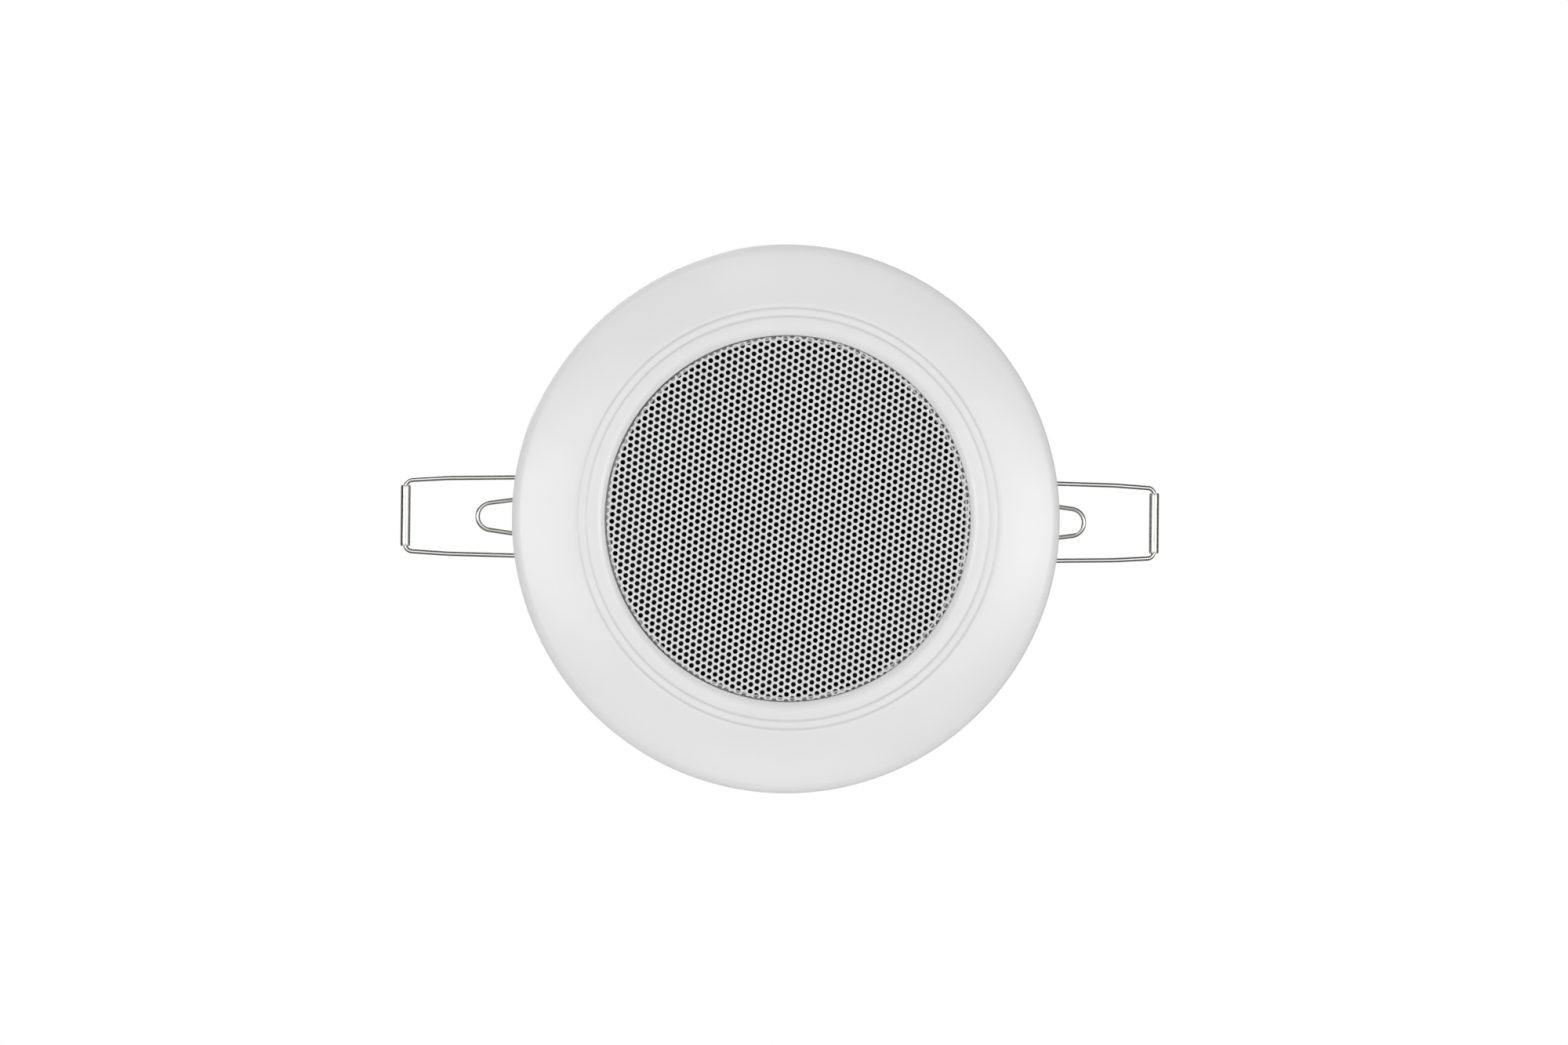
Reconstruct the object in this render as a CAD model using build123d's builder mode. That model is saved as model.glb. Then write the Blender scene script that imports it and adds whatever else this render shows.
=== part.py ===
"""Round in-ceiling speaker: domed bezel, perforated grille, cone driver and two spring clips.

Millimetres. The origin is the centre of the bezel's rear rim, where it meets the ceiling.
+Z points up into the ceiling void, the grille faces -Z and the clips swing on the X sides.
"""
from build123d import *
from math import atan2, cos, pi, radians, sin, sqrt, tan
import os

os.makedirs("parts", exist_ok=True)

# Bezel shell
bezel_radius = 59.0
rim_height = 0.9
rim_width = 2.2
edge_width = 2.1
edge_drop = 3.1
front_height = 6.8
face_bulge = 0.4
shell_wall = 2.0
front_ring_step = 6.6
rib_count = 12
rib_thickness = 1.4
rib_recess = 0.8

# Two ring lines and the grille opening in the bezel's front
line_steps = (5.8, 4.0)
line_width = 0.5
line_depth = 0.25
face_width = 19.8
opening_round_width = 1.8
opening_round_depth = 1.5
ledge_width = 1.0
ledge_thickness = 2.5

# Grille
grille_gap = 0.2
grille_thickness = 0.7
grille_recess = 1.9
perforation_pitch = 6.0
perforation_width = 3.5
perforation_sides = 6
perforation_angle = 34.2
perforation_margin = 0.6

# Collar behind the bezel, with a flat on each clip side
collar_flat_gap = 0.6
collar_wall = 1.8
collar_height = 20.0
collar_flat_depth = 2.0

# Driver seat and screws
seat_width = 3.0
gasket_thickness = 1.0
gasket_margin = 0.2
driver_screw_count = 4
boss_diameter = 5.0
screw_diameter = 2.2
screw_length = 4.8
screw_clearance = 0.05
screw_head_diameter = 4.4
screw_head_height = 1.6
fastener_sides = 12

# Driver frame
frame_sheet = 0.8
frame_margin = 0.9
frame_flange_width = 3.1
frame_step = 1.6
frame_ear_radius = 2.4
frame_ear_hole = 2.8
surround_land_width = 2.6
spider_land_radius = 19.4
spider_land_width = 2.6
spider_height = 13.0
basket_base_radius = 15.6
basket_hole_margin = 1.0
basket_depth = 16.5
window_count = 6
window_inner_margin = 2.1
window_outer_margin = 2.15
window_angle = 37.0
window_corner = 1.5

# Diaphragm and voice coil
surround_sheet = 0.4
surround_inner_land = 1.6
surround_roll_width = 3.4
cone_sheet = 0.6
glue_gap = 0.05
former_radius = 8.0
former_wall = 0.4
dust_cap_lap = 2.05
dust_cap_height = 3.0
dust_cap_sheet = 0.4
winding_wall = 0.55
winding_length = 5.4
spider_sheet = 0.4
spider_wave_count = 1
spider_wave_height = 0.8

# Magnet system
gap_clearance = 0.5
top_plate_radius = 20.0
top_plate_thickness = 4.0
magnet_radius = 25.0
magnet_bore_margin = 2.5
magnet_thickness = 10.0
back_plate_thickness = 4.0
plate_chamfer = 0.5

# Terminals and leads
shelf_width = 9.0
shelf_height = 9.0
strip_length = 17.0
strip_width = 6.5
strip_gap = 1.8
strip_thickness = 1.2
tag_spacing = 12.0
tag_width = 2.8
tag_thickness = 0.5
tag_rise = 6.0
lead_diameter = 0.8
lead_sides = 6
lead_crest = 0.4
lead_window_gap = 1.9
lead_window_side = 5.5
lead_end_radius = 15.5
lead_end_side = 5.2

# Spring clips
wire_diameter = 1.0
wire_sides = 6
coil_radius = 2.4
coil_full_turns = 2
coil_steps = 12
clip_axis_height = 13.5
clip_coil_clearance = 0.3
arm_slope = 6.0
arm_tip_lift = 3.0
arm_bend_reach = 25.6
arm_end_reach = 34.6
arm_root_half = 8.5
arm_bend_inset = 0.5
arm_end_inset = 0.85
arm_corner_radius = 1.05
corner_steps = 3
inner_loop_slope = 4.0
coil_length = 3.4
inner_loop_reach = 18.65
inner_loop_tip_radius = 3.0
inner_loop_tip_steps = 4
wire_end_gap = 0.5
sleeve_diameter = 2.2
sleeve_play = 0.1
sleeve_slit = 0.25

# Clip brackets, pins and rivets
bracket_sheet = 0.8
ear_margin = 1.3
bracket_foot = 4.0
bracket_corner = 1.5
ear_gap = 0.4
ear_radius = 3.2
tongue_margin = 0.7
tongue_overhang = 3.9
pin_radius = 1.5
pin_running_clearance = 0.05
pin_head_radius = 2.2
pin_head_height = 0.8
rivet_radius = 1.2
rivet_clearance = 0.05
rivet_head_radius = 2.1
rivet_head_height = 1.0
rivet_rise = 2.6
rivet_half_spacing = 7.5

# Heights and radii that follow from the sizes above
front_z = -front_height
opening_radius = bezel_radius - face_width
front_ring_radius = opening_radius + front_ring_step
line_radii = [opening_radius + step for step in line_steps]
crease_radius = bezel_radius - edge_width
crease_z = -rim_height - edge_drop
shell_floor_z = front_z + shell_wall
grille_front_z = front_z + grille_recess
ledge_z = grille_front_z + grille_thickness
aperture_radius = opening_radius - ledge_width
seat_z = ledge_z + ledge_thickness
seat_outer_radius = aperture_radius + seat_width
collar_inner_flat = seat_outer_radius + collar_flat_gap
collar_flat = collar_inner_flat + collar_wall
collar_outer_radius = collar_flat + collar_flat_depth
collar_inner_radius = collar_outer_radius - collar_wall
driver_screw_radius = seat_outer_radius
frame_radius = seat_outer_radius - frame_margin
grille_radius = opening_radius - grille_gap
frame_z = seat_z + gasket_thickness
frame_rear_z = frame_z + frame_sheet
land_z = frame_z + frame_step
flange_inner_radius = frame_radius - frame_flange_width
surround_outer_radius = flange_inner_radius - glue_gap - frame_sheet / 2
land_inner_radius = surround_outer_radius - surround_land_width
roll_inner_radius = land_inner_radius + glue_gap - surround_roll_width
cone_lip_inner = roll_inner_radius - surround_inner_land
window_inner_radius = spider_land_radius + window_inner_margin
window_outer_radius = land_inner_radius - window_outer_margin
former_outer_radius = former_radius + former_wall
neck_radius = former_outer_radius + glue_gap
winding_inner_radius = former_outer_radius + glue_gap
winding_outer_radius = winding_inner_radius + winding_wall
gap_radius = winding_outer_radius + gap_clearance
basket_base_hole = gap_radius + basket_hole_margin
magnet_bore_radius = gap_radius + magnet_bore_margin
dust_cap_radius = neck_radius + dust_cap_lap
top_plate_z = basket_depth + frame_sheet
magnet_z = top_plate_z + top_plate_thickness
back_plate_z = magnet_z + magnet_thickness
gap_middle_z = top_plate_z + top_plate_thickness / 2
former_top = gap_middle_z + winding_length / 2
bracket_face = collar_flat + bracket_sheet
coil_outer_radius = coil_radius + wire_diameter / 2
clip_axis = bracket_face + clip_coil_clearance + coil_outer_radius
arm_bend_distance = clip_axis + arm_bend_reach
arm_bend_half = arm_root_half - arm_bend_inset
arm_end_distance = clip_axis + arm_end_reach
arm_end_half = arm_root_half - arm_end_inset
inner_loop_root_half = arm_root_half - coil_length
inner_loop_tip = clip_axis + inner_loop_reach
sleeve_bore = wire_diameter + 2 * sleeve_play
sleeve_half_length = arm_end_half - arm_corner_radius
ear_inner = arm_root_half + wire_diameter / 2 + ear_gap
bracket_half_width = ear_inner + bracket_sheet + ear_margin
rivet_height = bracket_foot + rivet_rise
tongue_half_width = inner_loop_root_half + wire_diameter / 2 + tongue_margin
tongue_reach = clip_axis + tongue_overhang
tongue_z = clip_axis_height + coil_outer_radius + clip_coil_clearance
bracket_top = tongue_z + bracket_sheet
lead_window_radius = window_inner_radius + lead_window_gap
strip_z = shelf_height + frame_sheet
tag_z = strip_z + strip_thickness
frame_wall_rise = (spider_height - land_z) / (land_inner_radius - spider_land_radius)
wall_rear_radius = land_inner_radius + frame_sheet / 2 - (shelf_height - land_z) / frame_wall_rise
strip_near = wall_rear_radius + strip_gap
shelf_reach = strip_near + strip_width
cone_neck_z = spider_height - spider_sheet - cone_sheet * 2.5
cone_slope = (cone_neck_z - land_z) / (cone_lip_inner - neck_radius)


def cone_front(radius):
    """Height of the cone's front face at a radius."""
    return land_z + (cone_lip_inner - radius) * cone_slope


def frame_rear(radius):
    """Height of the basket wall's rear face at a radius."""
    return land_z + (land_inner_radius - radius) * frame_wall_rise + frame_sheet


def polar_planes(count, start):
    """Upright planes through the axis, one for each rib."""
    return [Plane.XZ.rotated((0, 0, start + 360 * i / count)) for i in range(count)]


# Bezel: one moulding, turned shell with an extruded collar
with BuildPart() as bezel:
    with BuildSketch(Plane.XZ):
        with BuildLine():
            Polyline((bezel_radius - rim_width, 0), (bezel_radius, 0), (bezel_radius, -rim_height))
            edge = TangentArc((bezel_radius, -rim_height), (crease_radius, crease_z), tangent=(0, -1))
            SagittaArc(edge @ 1, (front_ring_radius, front_z), -face_bulge)
            points = [(front_ring_radius, front_z)]
            for line_radius in line_radii:
                points.append((line_radius + line_width / 2, front_z))
                points.append((line_radius, front_z + line_depth))
                points.append((line_radius - line_width / 2, front_z))
            points.append((opening_radius + opening_round_width, front_z))
            Polyline(*points)
            lip = TangentArc(
                points[-1],
                (opening_radius, front_z + opening_round_depth),
                tangent=(-1, 0),
            )
            Polyline(
                lip @ 1,
                (opening_radius, ledge_z),
                (aperture_radius, ledge_z),
                (aperture_radius, seat_z),
                (seat_outer_radius, seat_z),
                (seat_outer_radius, shell_floor_z),
                (collar_outer_radius, shell_floor_z),
            )
            SagittaArc(
                (collar_outer_radius, shell_floor_z),
                (crease_radius - rim_height, crease_z + shell_wall - rim_height / 4),
                face_bulge,
            )
            Line(
                (crease_radius - rim_height, crease_z + shell_wall - rim_height / 4),
                (bezel_radius - rim_width, 0),
            )
        make_face()
    revolve(axis=Axis.Z)
    with BuildSketch(Plane.XY.offset(shell_floor_z - shell_wall / 4)):
        Circle(collar_outer_radius)
        Rectangle(2 * collar_flat, 2 * collar_outer_radius, mode=Mode.INTERSECT)
        with BuildSketch(mode=Mode.PRIVATE) as collar_bore:
            Circle(collar_inner_radius)
            Rectangle(2 * collar_inner_flat, 2 * collar_inner_radius, mode=Mode.INTERSECT)
        add(collar_bore.sketch, mode=Mode.SUBTRACT)
    extrude(amount=collar_height - shell_floor_z + shell_wall / 4)
    with BuildSketch(*polar_planes(rib_count, 180 / rib_count)):
        Polygon(
            (collar_outer_radius - collar_wall / 2, -rib_recess),
            (bezel_radius - rim_width, -rib_recess),
            (crease_radius - rim_height, crease_z + shell_wall / 2),
            (collar_outer_radius - collar_wall / 2, shell_floor_z - shell_wall / 2),
            align=None,
        )
    extrude(amount=rib_thickness / 2, both=True)
    with BuildSketch(Plane.XY.offset(frame_z)):
        with PolarLocations(driver_screw_radius, driver_screw_count, start_angle=45):
            RegularPolygon(boss_diameter / 2, fastener_sides)
    extrude(amount=shell_floor_z - shell_wall / 4 - frame_z)
    with BuildSketch(Plane.XY.offset(ledge_z)):
        Circle(opening_radius)
    extrude(amount=shell_floor_z - shell_wall / 4 - ledge_z, mode=Mode.SUBTRACT)
    with BuildSketch(Plane.XY.offset(frame_z)):
        with PolarLocations(driver_screw_radius, driver_screw_count, start_angle=45):
            RegularPolygon(screw_diameter / 2 + screw_clearance, fastener_sides, major_radius=False)
    extrude(amount=-screw_length, mode=Mode.SUBTRACT)
    rivet_line = [(side, rivet_height) for side in (-rivet_half_spacing, rivet_half_spacing)]
    with BuildSketch(Plane.YZ):
        with Locations(*rivet_line):
            RegularPolygon(rivet_radius + rivet_clearance, fastener_sides, major_radius=False)
    extrude(amount=bezel_radius, both=True, mode=Mode.SUBTRACT)
bezel.part.label = "bezel"
export_step(bezel.part, "parts/bezel.step")


# Grille: flat punched disc on the bezel's ledge
def perforation_points():
    """Centres of the perforations: a triangular pattern, turned and kept inside the disc."""
    limit = grille_radius - perforation_margin - perforation_width / sqrt(3)
    reach = int(2 * grille_radius / perforation_pitch) + 1
    turn = radians(perforation_angle)
    found = []
    for row in range(-reach, reach + 1):
        for column in range(-reach, reach + 1):
            along = perforation_pitch * (column + row / 2)
            across = perforation_pitch * row * sqrt(3) / 2
            if along**2 + across**2 <= limit**2:
                found.append(
                    (along * cos(turn) - across * sin(turn), along * sin(turn) + across * cos(turn))
                )
    return found


with BuildPart() as grille:
    with BuildSketch(Plane.XY.offset(grille_front_z)):
        Circle(grille_radius)
        with Locations(*perforation_points()):
            RegularPolygon(
                perforation_width / 2,
                perforation_sides,
                major_radius=False,
                rotation=perforation_angle,
                mode=Mode.SUBTRACT,
            )
    extrude(amount=grille_thickness)
grille.part.label = "grille"
export_step(grille.part, "parts/grille.step")

# Gasket: foam ring on the driver seat, notched round the screw bosses
with BuildPart() as driver_gasket:
    with BuildSketch(Plane.XY.offset(seat_z)):
        Circle(seat_outer_radius - gasket_margin)
        Circle(aperture_radius + gasket_margin, mode=Mode.SUBTRACT)
        with PolarLocations(driver_screw_radius, driver_screw_count, start_angle=45):
            RegularPolygon(boss_diameter / 2 + gasket_margin, fastener_sides, mode=Mode.SUBTRACT)
    extrude(amount=gasket_thickness)
driver_gasket.part.label = "driver_gasket"
export_step(driver_gasket.part, "parts/driver_gasket.step")

# Driver frame: pressed steel basket with screw ears, windows and a terminal shelf
with BuildSketch(mode=Mode.PRIVATE) as frame_window:
    with BuildLine():
        inner = CenterArc((0, 0), window_inner_radius, -window_angle / 2, window_angle)
        outer = CenterArc((0, 0), window_outer_radius, -window_angle / 2, window_angle)
        Line(inner @ 0, outer @ 0)
        Line(inner @ 1, outer @ 1)
    make_face()
    chamfer(frame_window.vertices(), window_corner)

with BuildPart() as driver_frame:
    with BuildSketch(Plane.XZ):
        front_line = [
            (frame_radius, frame_z),
            (flange_inner_radius, frame_z),
            (flange_inner_radius - frame_sheet / 2, land_z),
            (land_inner_radius, land_z),
            (spider_land_radius, spider_height),
            (spider_land_radius - spider_land_width, spider_height),
            (basket_base_radius, basket_depth),
            (basket_base_hole, basket_depth),
        ]
        rear_line = [(radius + frame_sheet / 2, z + frame_sheet) for radius, z in front_line]
        rear_line[0] = (frame_radius, frame_rear_z)
        rear_line[-1] = (basket_base_hole, basket_depth + frame_sheet)
        Polygon(*front_line, *reversed(rear_line), align=None)
    revolve(axis=Axis.Z)
    with BuildSketch(Plane.XY.offset(frame_z)):
        with PolarLocations(driver_screw_radius, driver_screw_count, start_angle=45):
            RegularPolygon(frame_ear_radius, fastener_sides)
        with PolarLocations(frame_radius - frame_ear_radius / 2, driver_screw_count, start_angle=45):
            Rectangle(frame_ear_radius, 2 * frame_ear_radius)
    extrude(amount=frame_sheet)
    with BuildSketch(Plane.XY.offset(frame_z)):
        with PolarLocations(driver_screw_radius, driver_screw_count, start_angle=45):
            RegularPolygon(frame_ear_hole / 2, fastener_sides, major_radius=False)
    extrude(amount=frame_sheet, mode=Mode.SUBTRACT)
    with BuildSketch(Plane.XY.offset(land_z)):
        with PolarLocations(0, window_count, start_angle=90 + 180 / window_count):
            add(frame_window.sketch)
    extrude(amount=spider_height - land_z, mode=Mode.SUBTRACT)
    shelf_root = land_inner_radius - (shelf_height - land_z) / frame_wall_rise
    with BuildSketch(Plane.XY.offset(shelf_height)):
        with Locations((0, (shelf_root + shelf_reach) / 2)):
            Rectangle(shelf_width, shelf_reach - shelf_root)
    extrude(amount=frame_sheet)
driver_frame.part.label = "driver_frame"
export_step(driver_frame.part, "parts/driver_frame.step")

# Surround: rubber roll between the cone's lip and the frame's land
roll_rise = (land_inner_radius - roll_inner_radius) / 3
surround_line = [
    (surround_outer_radius, land_z),
    (land_inner_radius, land_z),
    (land_inner_radius - roll_rise / 2, land_z - roll_rise),
    (roll_inner_radius + roll_rise / 2, land_z - roll_rise),
    (roll_inner_radius, land_z),
    (cone_lip_inner, land_z),
]
with BuildPart() as surround:
    with BuildSketch(Plane.XZ):
        front_line = [(radius, z - surround_sheet) for radius, z in reversed(surround_line)]
        Polygon(*surround_line, *front_line, align=None)
    revolve(axis=Axis.Z)
surround.part.label = "surround"
export_step(surround.part, "parts/surround.step")

# Cone: paper diaphragm with a flat lip
with BuildPart() as cone:
    with BuildSketch(Plane.XZ):
        Polygon(
            (roll_inner_radius, land_z),
            (cone_lip_inner, land_z),
            (neck_radius, cone_neck_z),
            (neck_radius, cone_neck_z + cone_sheet),
            (cone_lip_inner, land_z + cone_sheet),
            (roll_inner_radius, land_z + cone_sheet),
            align=None,
        )
    revolve(axis=Axis.Z)
cone.part.label = "cone"
export_step(cone.part, "parts/cone.step")

# Dust cap: low dome of three steps, glued on the cone's front
cap_rim_z = cone_front(dust_cap_radius) - glue_gap
cap_front = [
    (dust_cap_radius * cos(angle), cap_rim_z - dust_cap_sheet - dust_cap_height * sin(angle))
    for angle in (0, pi / 6, pi / 3, pi / 2)
]
with BuildPart() as dust_cap:
    with BuildSketch(Plane.XZ):
        cap_rear = [(radius, z + dust_cap_sheet) for radius, z in reversed(cap_front)]
        Polygon(*cap_front, *cap_rear, align=None)
    revolve(axis=Axis.Z)
dust_cap.part.label = "dust_cap"
export_step(dust_cap.part, "parts/dust_cap.step")

# Voice coil: thin former in the cone's neck, with its winding in the magnet's gap
former_front_z = cone_neck_z - cone_sheet
with BuildPart() as voice_coil_former:
    with BuildSketch(Plane.XY.offset(former_front_z)):
        Circle(former_outer_radius)
        Circle(former_radius, mode=Mode.SUBTRACT)
    extrude(amount=former_top - former_front_z)
voice_coil_former.part.label = "voice_coil_former"
export_step(voice_coil_former.part, "parts/voice_coil_former.step")

with BuildPart() as voice_coil_winding:
    with BuildSketch(Plane.XY.offset(gap_middle_z - winding_length / 2)):
        Circle(winding_outer_radius)
        Circle(winding_inner_radius, mode=Mode.SUBTRACT)
    extrude(amount=winding_length)
voice_coil_winding.part.label = "voice_coil_winding"
export_step(voice_coil_winding.part, "parts/voice_coil_winding.step")

# Spider: corrugated centring disc from the former to the frame's inner land
spider_outer_radius = spider_land_radius - glue_gap
spider_flat_radius = spider_land_radius - spider_land_width - frame_sheet
spider_z = spider_height - spider_sheet
wave_length = (spider_flat_radius - neck_radius) / (spider_wave_count + 1 / 2)
with BuildPart() as spider:
    with BuildSketch(Plane.XZ):
        lower = [(spider_outer_radius, spider_z), (spider_flat_radius, spider_z)]
        for wave in range(spider_wave_count):
            start = spider_flat_radius - wave * wave_length
            lower.append((start - wave_length / 2, spider_z + spider_wave_height))
            lower.append((start - wave_length, spider_z))
        lower.append((neck_radius, spider_z))
        upper = [(radius, z + spider_sheet) for radius, z in reversed(lower)]
        Polygon(*lower, *upper, align=None)
    revolve(axis=Axis.Z)
spider.part.label = "spider"
export_step(spider.part, "parts/spider.step")

# Magnet system: top plate, ferrite ring, and back plate with its pole
with BuildPart() as top_plate:
    with BuildSketch(Plane.XY.offset(top_plate_z)):
        Circle(top_plate_radius)
        Circle(gap_radius, mode=Mode.SUBTRACT)
    extrude(amount=top_plate_thickness)
top_plate.part.label = "top_plate"
export_step(top_plate.part, "parts/top_plate.step")

with BuildPart() as magnet:
    with BuildSketch(Plane.XY.offset(magnet_z)):
        Circle(magnet_radius)
        Circle(magnet_bore_radius, mode=Mode.SUBTRACT)
    extrude(amount=magnet_thickness)
    chamfer(magnet.edges().filter_by(GeomType.CIRCLE).group_by(SortBy.RADIUS)[-1], plate_chamfer)
magnet.part.label = "magnet"
export_step(magnet.part, "parts/magnet.step")

with BuildPart() as back_plate:
    with BuildSketch(Plane.XY.offset(back_plate_z)):
        Circle(top_plate_radius)
    extrude(amount=back_plate_thickness)
    chamfer(back_plate.faces().sort_by(Axis.Z)[-1].edges(), plate_chamfer)
    with BuildSketch(Plane.XY.offset(top_plate_z)):
        Circle(former_radius - gap_clearance)
    extrude(amount=back_plate_z - top_plate_z)
back_plate.part.label = "back_plate"
export_step(back_plate.part, "parts/back_plate.step")

# Terminals: fibre strip on the frame's shelf, with two bent tags
tag_sides = (-tag_spacing / 2, tag_spacing / 2)
with BuildPart() as terminal_strip:
    with BuildSketch(Plane.XY.offset(strip_z)):
        with Locations((0, shelf_reach - strip_width / 2)):
            RectangleRounded(strip_length, strip_width, window_corner / 2)
    extrude(amount=strip_thickness)
terminal_strip.part.label = "terminal_strip"
export_step(terminal_strip.part, "parts/terminal_strip.step")

with BuildPart() as terminal_tags:
    with BuildSketch(*[Plane.YZ.offset(side) for side in tag_sides]):
        Polygon(
            (strip_near, tag_z),
            (shelf_reach, tag_z),
            (shelf_reach, tag_z + tag_rise),
            (shelf_reach - tag_thickness, tag_z + tag_rise),
            (shelf_reach - tag_thickness, tag_z + tag_thickness),
            (strip_near, tag_z + tag_thickness),
            align=None,
        )
    extrude(amount=tag_width / 2, both=True)
terminal_tags.part.label = "terminal_tags"
export_step(terminal_tags.part, "parts/terminal_tags.step")

# Tinsel leads: two limp braids from the tags, through the windows, to the cone's rear
lead_radius = lead_diameter / 2
lead_end_y = sqrt(lead_end_radius**2 - lead_end_side**2)
lead_end_z = cone_front(lead_end_radius) + cone_sheet + lead_radius + glue_gap
lead_start_z = tag_z + lead_radius
lead_start_y = strip_near - glue_gap
lead_window_y = sqrt(lead_window_radius**2 - lead_window_side**2)
lead_window_z = frame_rear(lead_window_radius) - frame_sheet / 2
with BuildPart() as tinsel_leads:
    for side in (-1, 1):
        with BuildLine() as lead_path:
            Polyline(
                (side * tag_spacing / 2, lead_start_y, lead_start_z),
                (side * tag_spacing / 2, lead_start_y - 2 * lead_diameter, lead_start_z + lead_crest),
                (side * lead_window_side, lead_window_y, lead_window_z),
                (side * lead_end_side, (lead_window_y + lead_end_y) / 2, lead_end_z + lead_crest),
                (side * lead_end_side, lead_end_y, lead_end_z),
            )
        lead_wire = lead_path.wires()[0]
        with BuildSketch(Plane(origin=lead_wire @ 0, z_dir=lead_wire % 0)):
            RegularPolygon(lead_radius, lead_sides)
        sweep(path=lead_wire, transition=Transition.RIGHT)
tinsel_leads.part.label = "tinsel_leads"
export_step(tinsel_leads.part, "parts/tinsel_leads.step")

# Driver screws: pan heads on the frame's ears, shanks in the bezel's bosses
with BuildPart() as driver_screws:
    with BuildSketch(Plane.XY.offset(frame_rear_z)):
        with PolarLocations(driver_screw_radius, driver_screw_count, start_angle=45):
            RegularPolygon(screw_head_diameter / 2, fastener_sides)
    extrude(amount=screw_head_height)
    chamfer(driver_screws.faces().group_by(Axis.Z)[-1].edges(), screw_head_height / 3)
    with BuildSketch(Plane.XY.offset(frame_rear_z)):
        with PolarLocations(driver_screw_radius, driver_screw_count, start_angle=45):
            RegularPolygon(screw_diameter / 2, fastener_sides, major_radius=False)
    extrude(amount=-screw_length - frame_sheet + screw_clearance)
driver_screws.part.label = "driver_screws"
export_step(driver_screws.part, "parts/driver_screws.step")


# Spring clips, seen from the right: distances run outwards along X, the left one is a mirror image
def clip_wire_points():
    """Centre line of half a clip wire, from its end in the sleeve to its inner loop's tip."""
    slope = radians(arm_slope)
    tip_slope = radians(arm_slope + arm_tip_lift)
    coil_exit = clip_axis + coil_radius * sin(slope)
    exit_z = clip_axis_height - coil_radius * cos(slope)
    bend_z = exit_z + (arm_bend_distance - coil_exit) * tan(slope)
    corner_x = arm_end_distance - arm_corner_radius
    end_z = bend_z + (arm_end_distance - arm_bend_distance) * tan(tip_slope)
    corner_side = arm_end_half - arm_corner_radius
    points = [(arm_end_distance, wire_end_gap / 2, end_z)]
    for step in range(corner_steps + 1):
        turn = pi / 2 * step / corner_steps
        along = corner_x + arm_corner_radius * cos(turn)
        lift = (along - arm_end_distance) * tan(tip_slope)
        points.append((along, corner_side + arm_corner_radius * sin(turn), end_z + lift))
    points.append((arm_bend_distance, arm_bend_half, bend_z))
    sweep_angle = pi + 2 * pi * coil_full_turns + slope + radians(inner_loop_slope)
    steps = round(coil_steps * sweep_angle / (2 * pi))
    for step in range(steps + 1):
        turn = slope - pi / 2 - sweep_angle * step / steps
        side = arm_root_half + (inner_loop_root_half - arm_root_half) * step / steps
        points.append(
            (clip_axis + coil_radius * cos(turn), side, clip_axis_height + coil_radius * sin(turn))
        )
    tip_centre = inner_loop_tip - inner_loop_tip_radius
    taper = atan2(inner_loop_root_half - inner_loop_tip_radius, tip_centre - clip_axis)
    for step in range(inner_loop_tip_steps + 1):
        turn = (pi / 2 - taper) * (1 - step / (inner_loop_tip_steps + 1 / 2))
        along = tip_centre + inner_loop_tip_radius * cos(turn)
        tip_z = clip_axis_height + coil_radius - (along - clip_axis) * tan(radians(inner_loop_slope))
        points.append((along, inner_loop_tip_radius * sin(turn), tip_z))
    points.append((along, 0, tip_z))
    return points


def clip_spring(sign):
    """One bent wire: outer loop, two coils and inner loop."""
    with BuildPart() as spring:
        with BuildLine() as centre_line:
            Polyline(*[(sign * x, y, z) for x, y, z in clip_wire_points()])
        wire = centre_line.wires()[0]
        with BuildSketch(Plane(origin=wire @ 0, z_dir=wire % 0)):
            RegularPolygon(wire_diameter / 2, wire_sides)
        sweep(path=wire, transition=Transition.RIGHT)
        mirror(about=Plane.XZ)
    return spring


def clip_sleeve(sign):
    """Rolled sleeve on the outer loop's end, with its seam on the outer side."""
    end = clip_wire_points()[0]
    middle = Plane.XZ.offset(-sleeve_half_length)
    with BuildPart() as sleeve:
        with BuildSketch(middle):
            with Locations((sign * end[0], end[2])):
                Circle(sleeve_diameter / 2)
                Circle(sleeve_bore / 2, mode=Mode.SUBTRACT)
            with Locations((sign * (end[0] + sleeve_diameter / 2), end[2])):
                Rectangle(sleeve_diameter, sleeve_slit, mode=Mode.SUBTRACT)
        extrude(amount=2 * sleeve_half_length)
    return sleeve


def clip_bracket(sign):
    """Stamped steel bracket: back plate, tongue over the inner loop and two ears."""
    plate_height = bracket_top - bracket_foot
    with BuildPart() as bracket:
        with BuildSketch(Plane.YZ.offset(sign * collar_flat)):
            with Locations((0, bracket_foot + plate_height / 2)):
                RectangleRounded(2 * bracket_half_width, plate_height, bracket_corner)
        extrude(amount=sign * bracket_sheet)
        with BuildSketch(Plane.XY.offset(tongue_z)):
            with Locations((sign * (collar_flat + tongue_reach) / 2, 0)):
                Rectangle(tongue_reach - collar_flat, 2 * tongue_half_width)
        extrude(amount=bracket_sheet)
        ear_planes = [Plane.XZ.offset(-ear_inner - bracket_sheet), Plane.XZ.offset(ear_inner)]
        with BuildSketch(*ear_planes):
            with Locations((sign * clip_axis, clip_axis_height)):
                Circle(ear_radius)
            with Locations((sign * (collar_flat + clip_axis) / 2, clip_axis_height)):
                Rectangle(clip_axis - collar_flat, 2 * ear_radius)
            with Locations((sign * clip_axis, clip_axis_height)):
                Circle(pin_radius + pin_running_clearance, mode=Mode.SUBTRACT)
        extrude(amount=bracket_sheet)
        with BuildSketch(Plane.YZ.offset(sign * collar_flat)):
            with Locations(*rivet_line):
                RegularPolygon(rivet_radius + rivet_clearance, fastener_sides, major_radius=False)
        extrude(amount=sign * bracket_sheet, mode=Mode.SUBTRACT)
    return bracket


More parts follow.
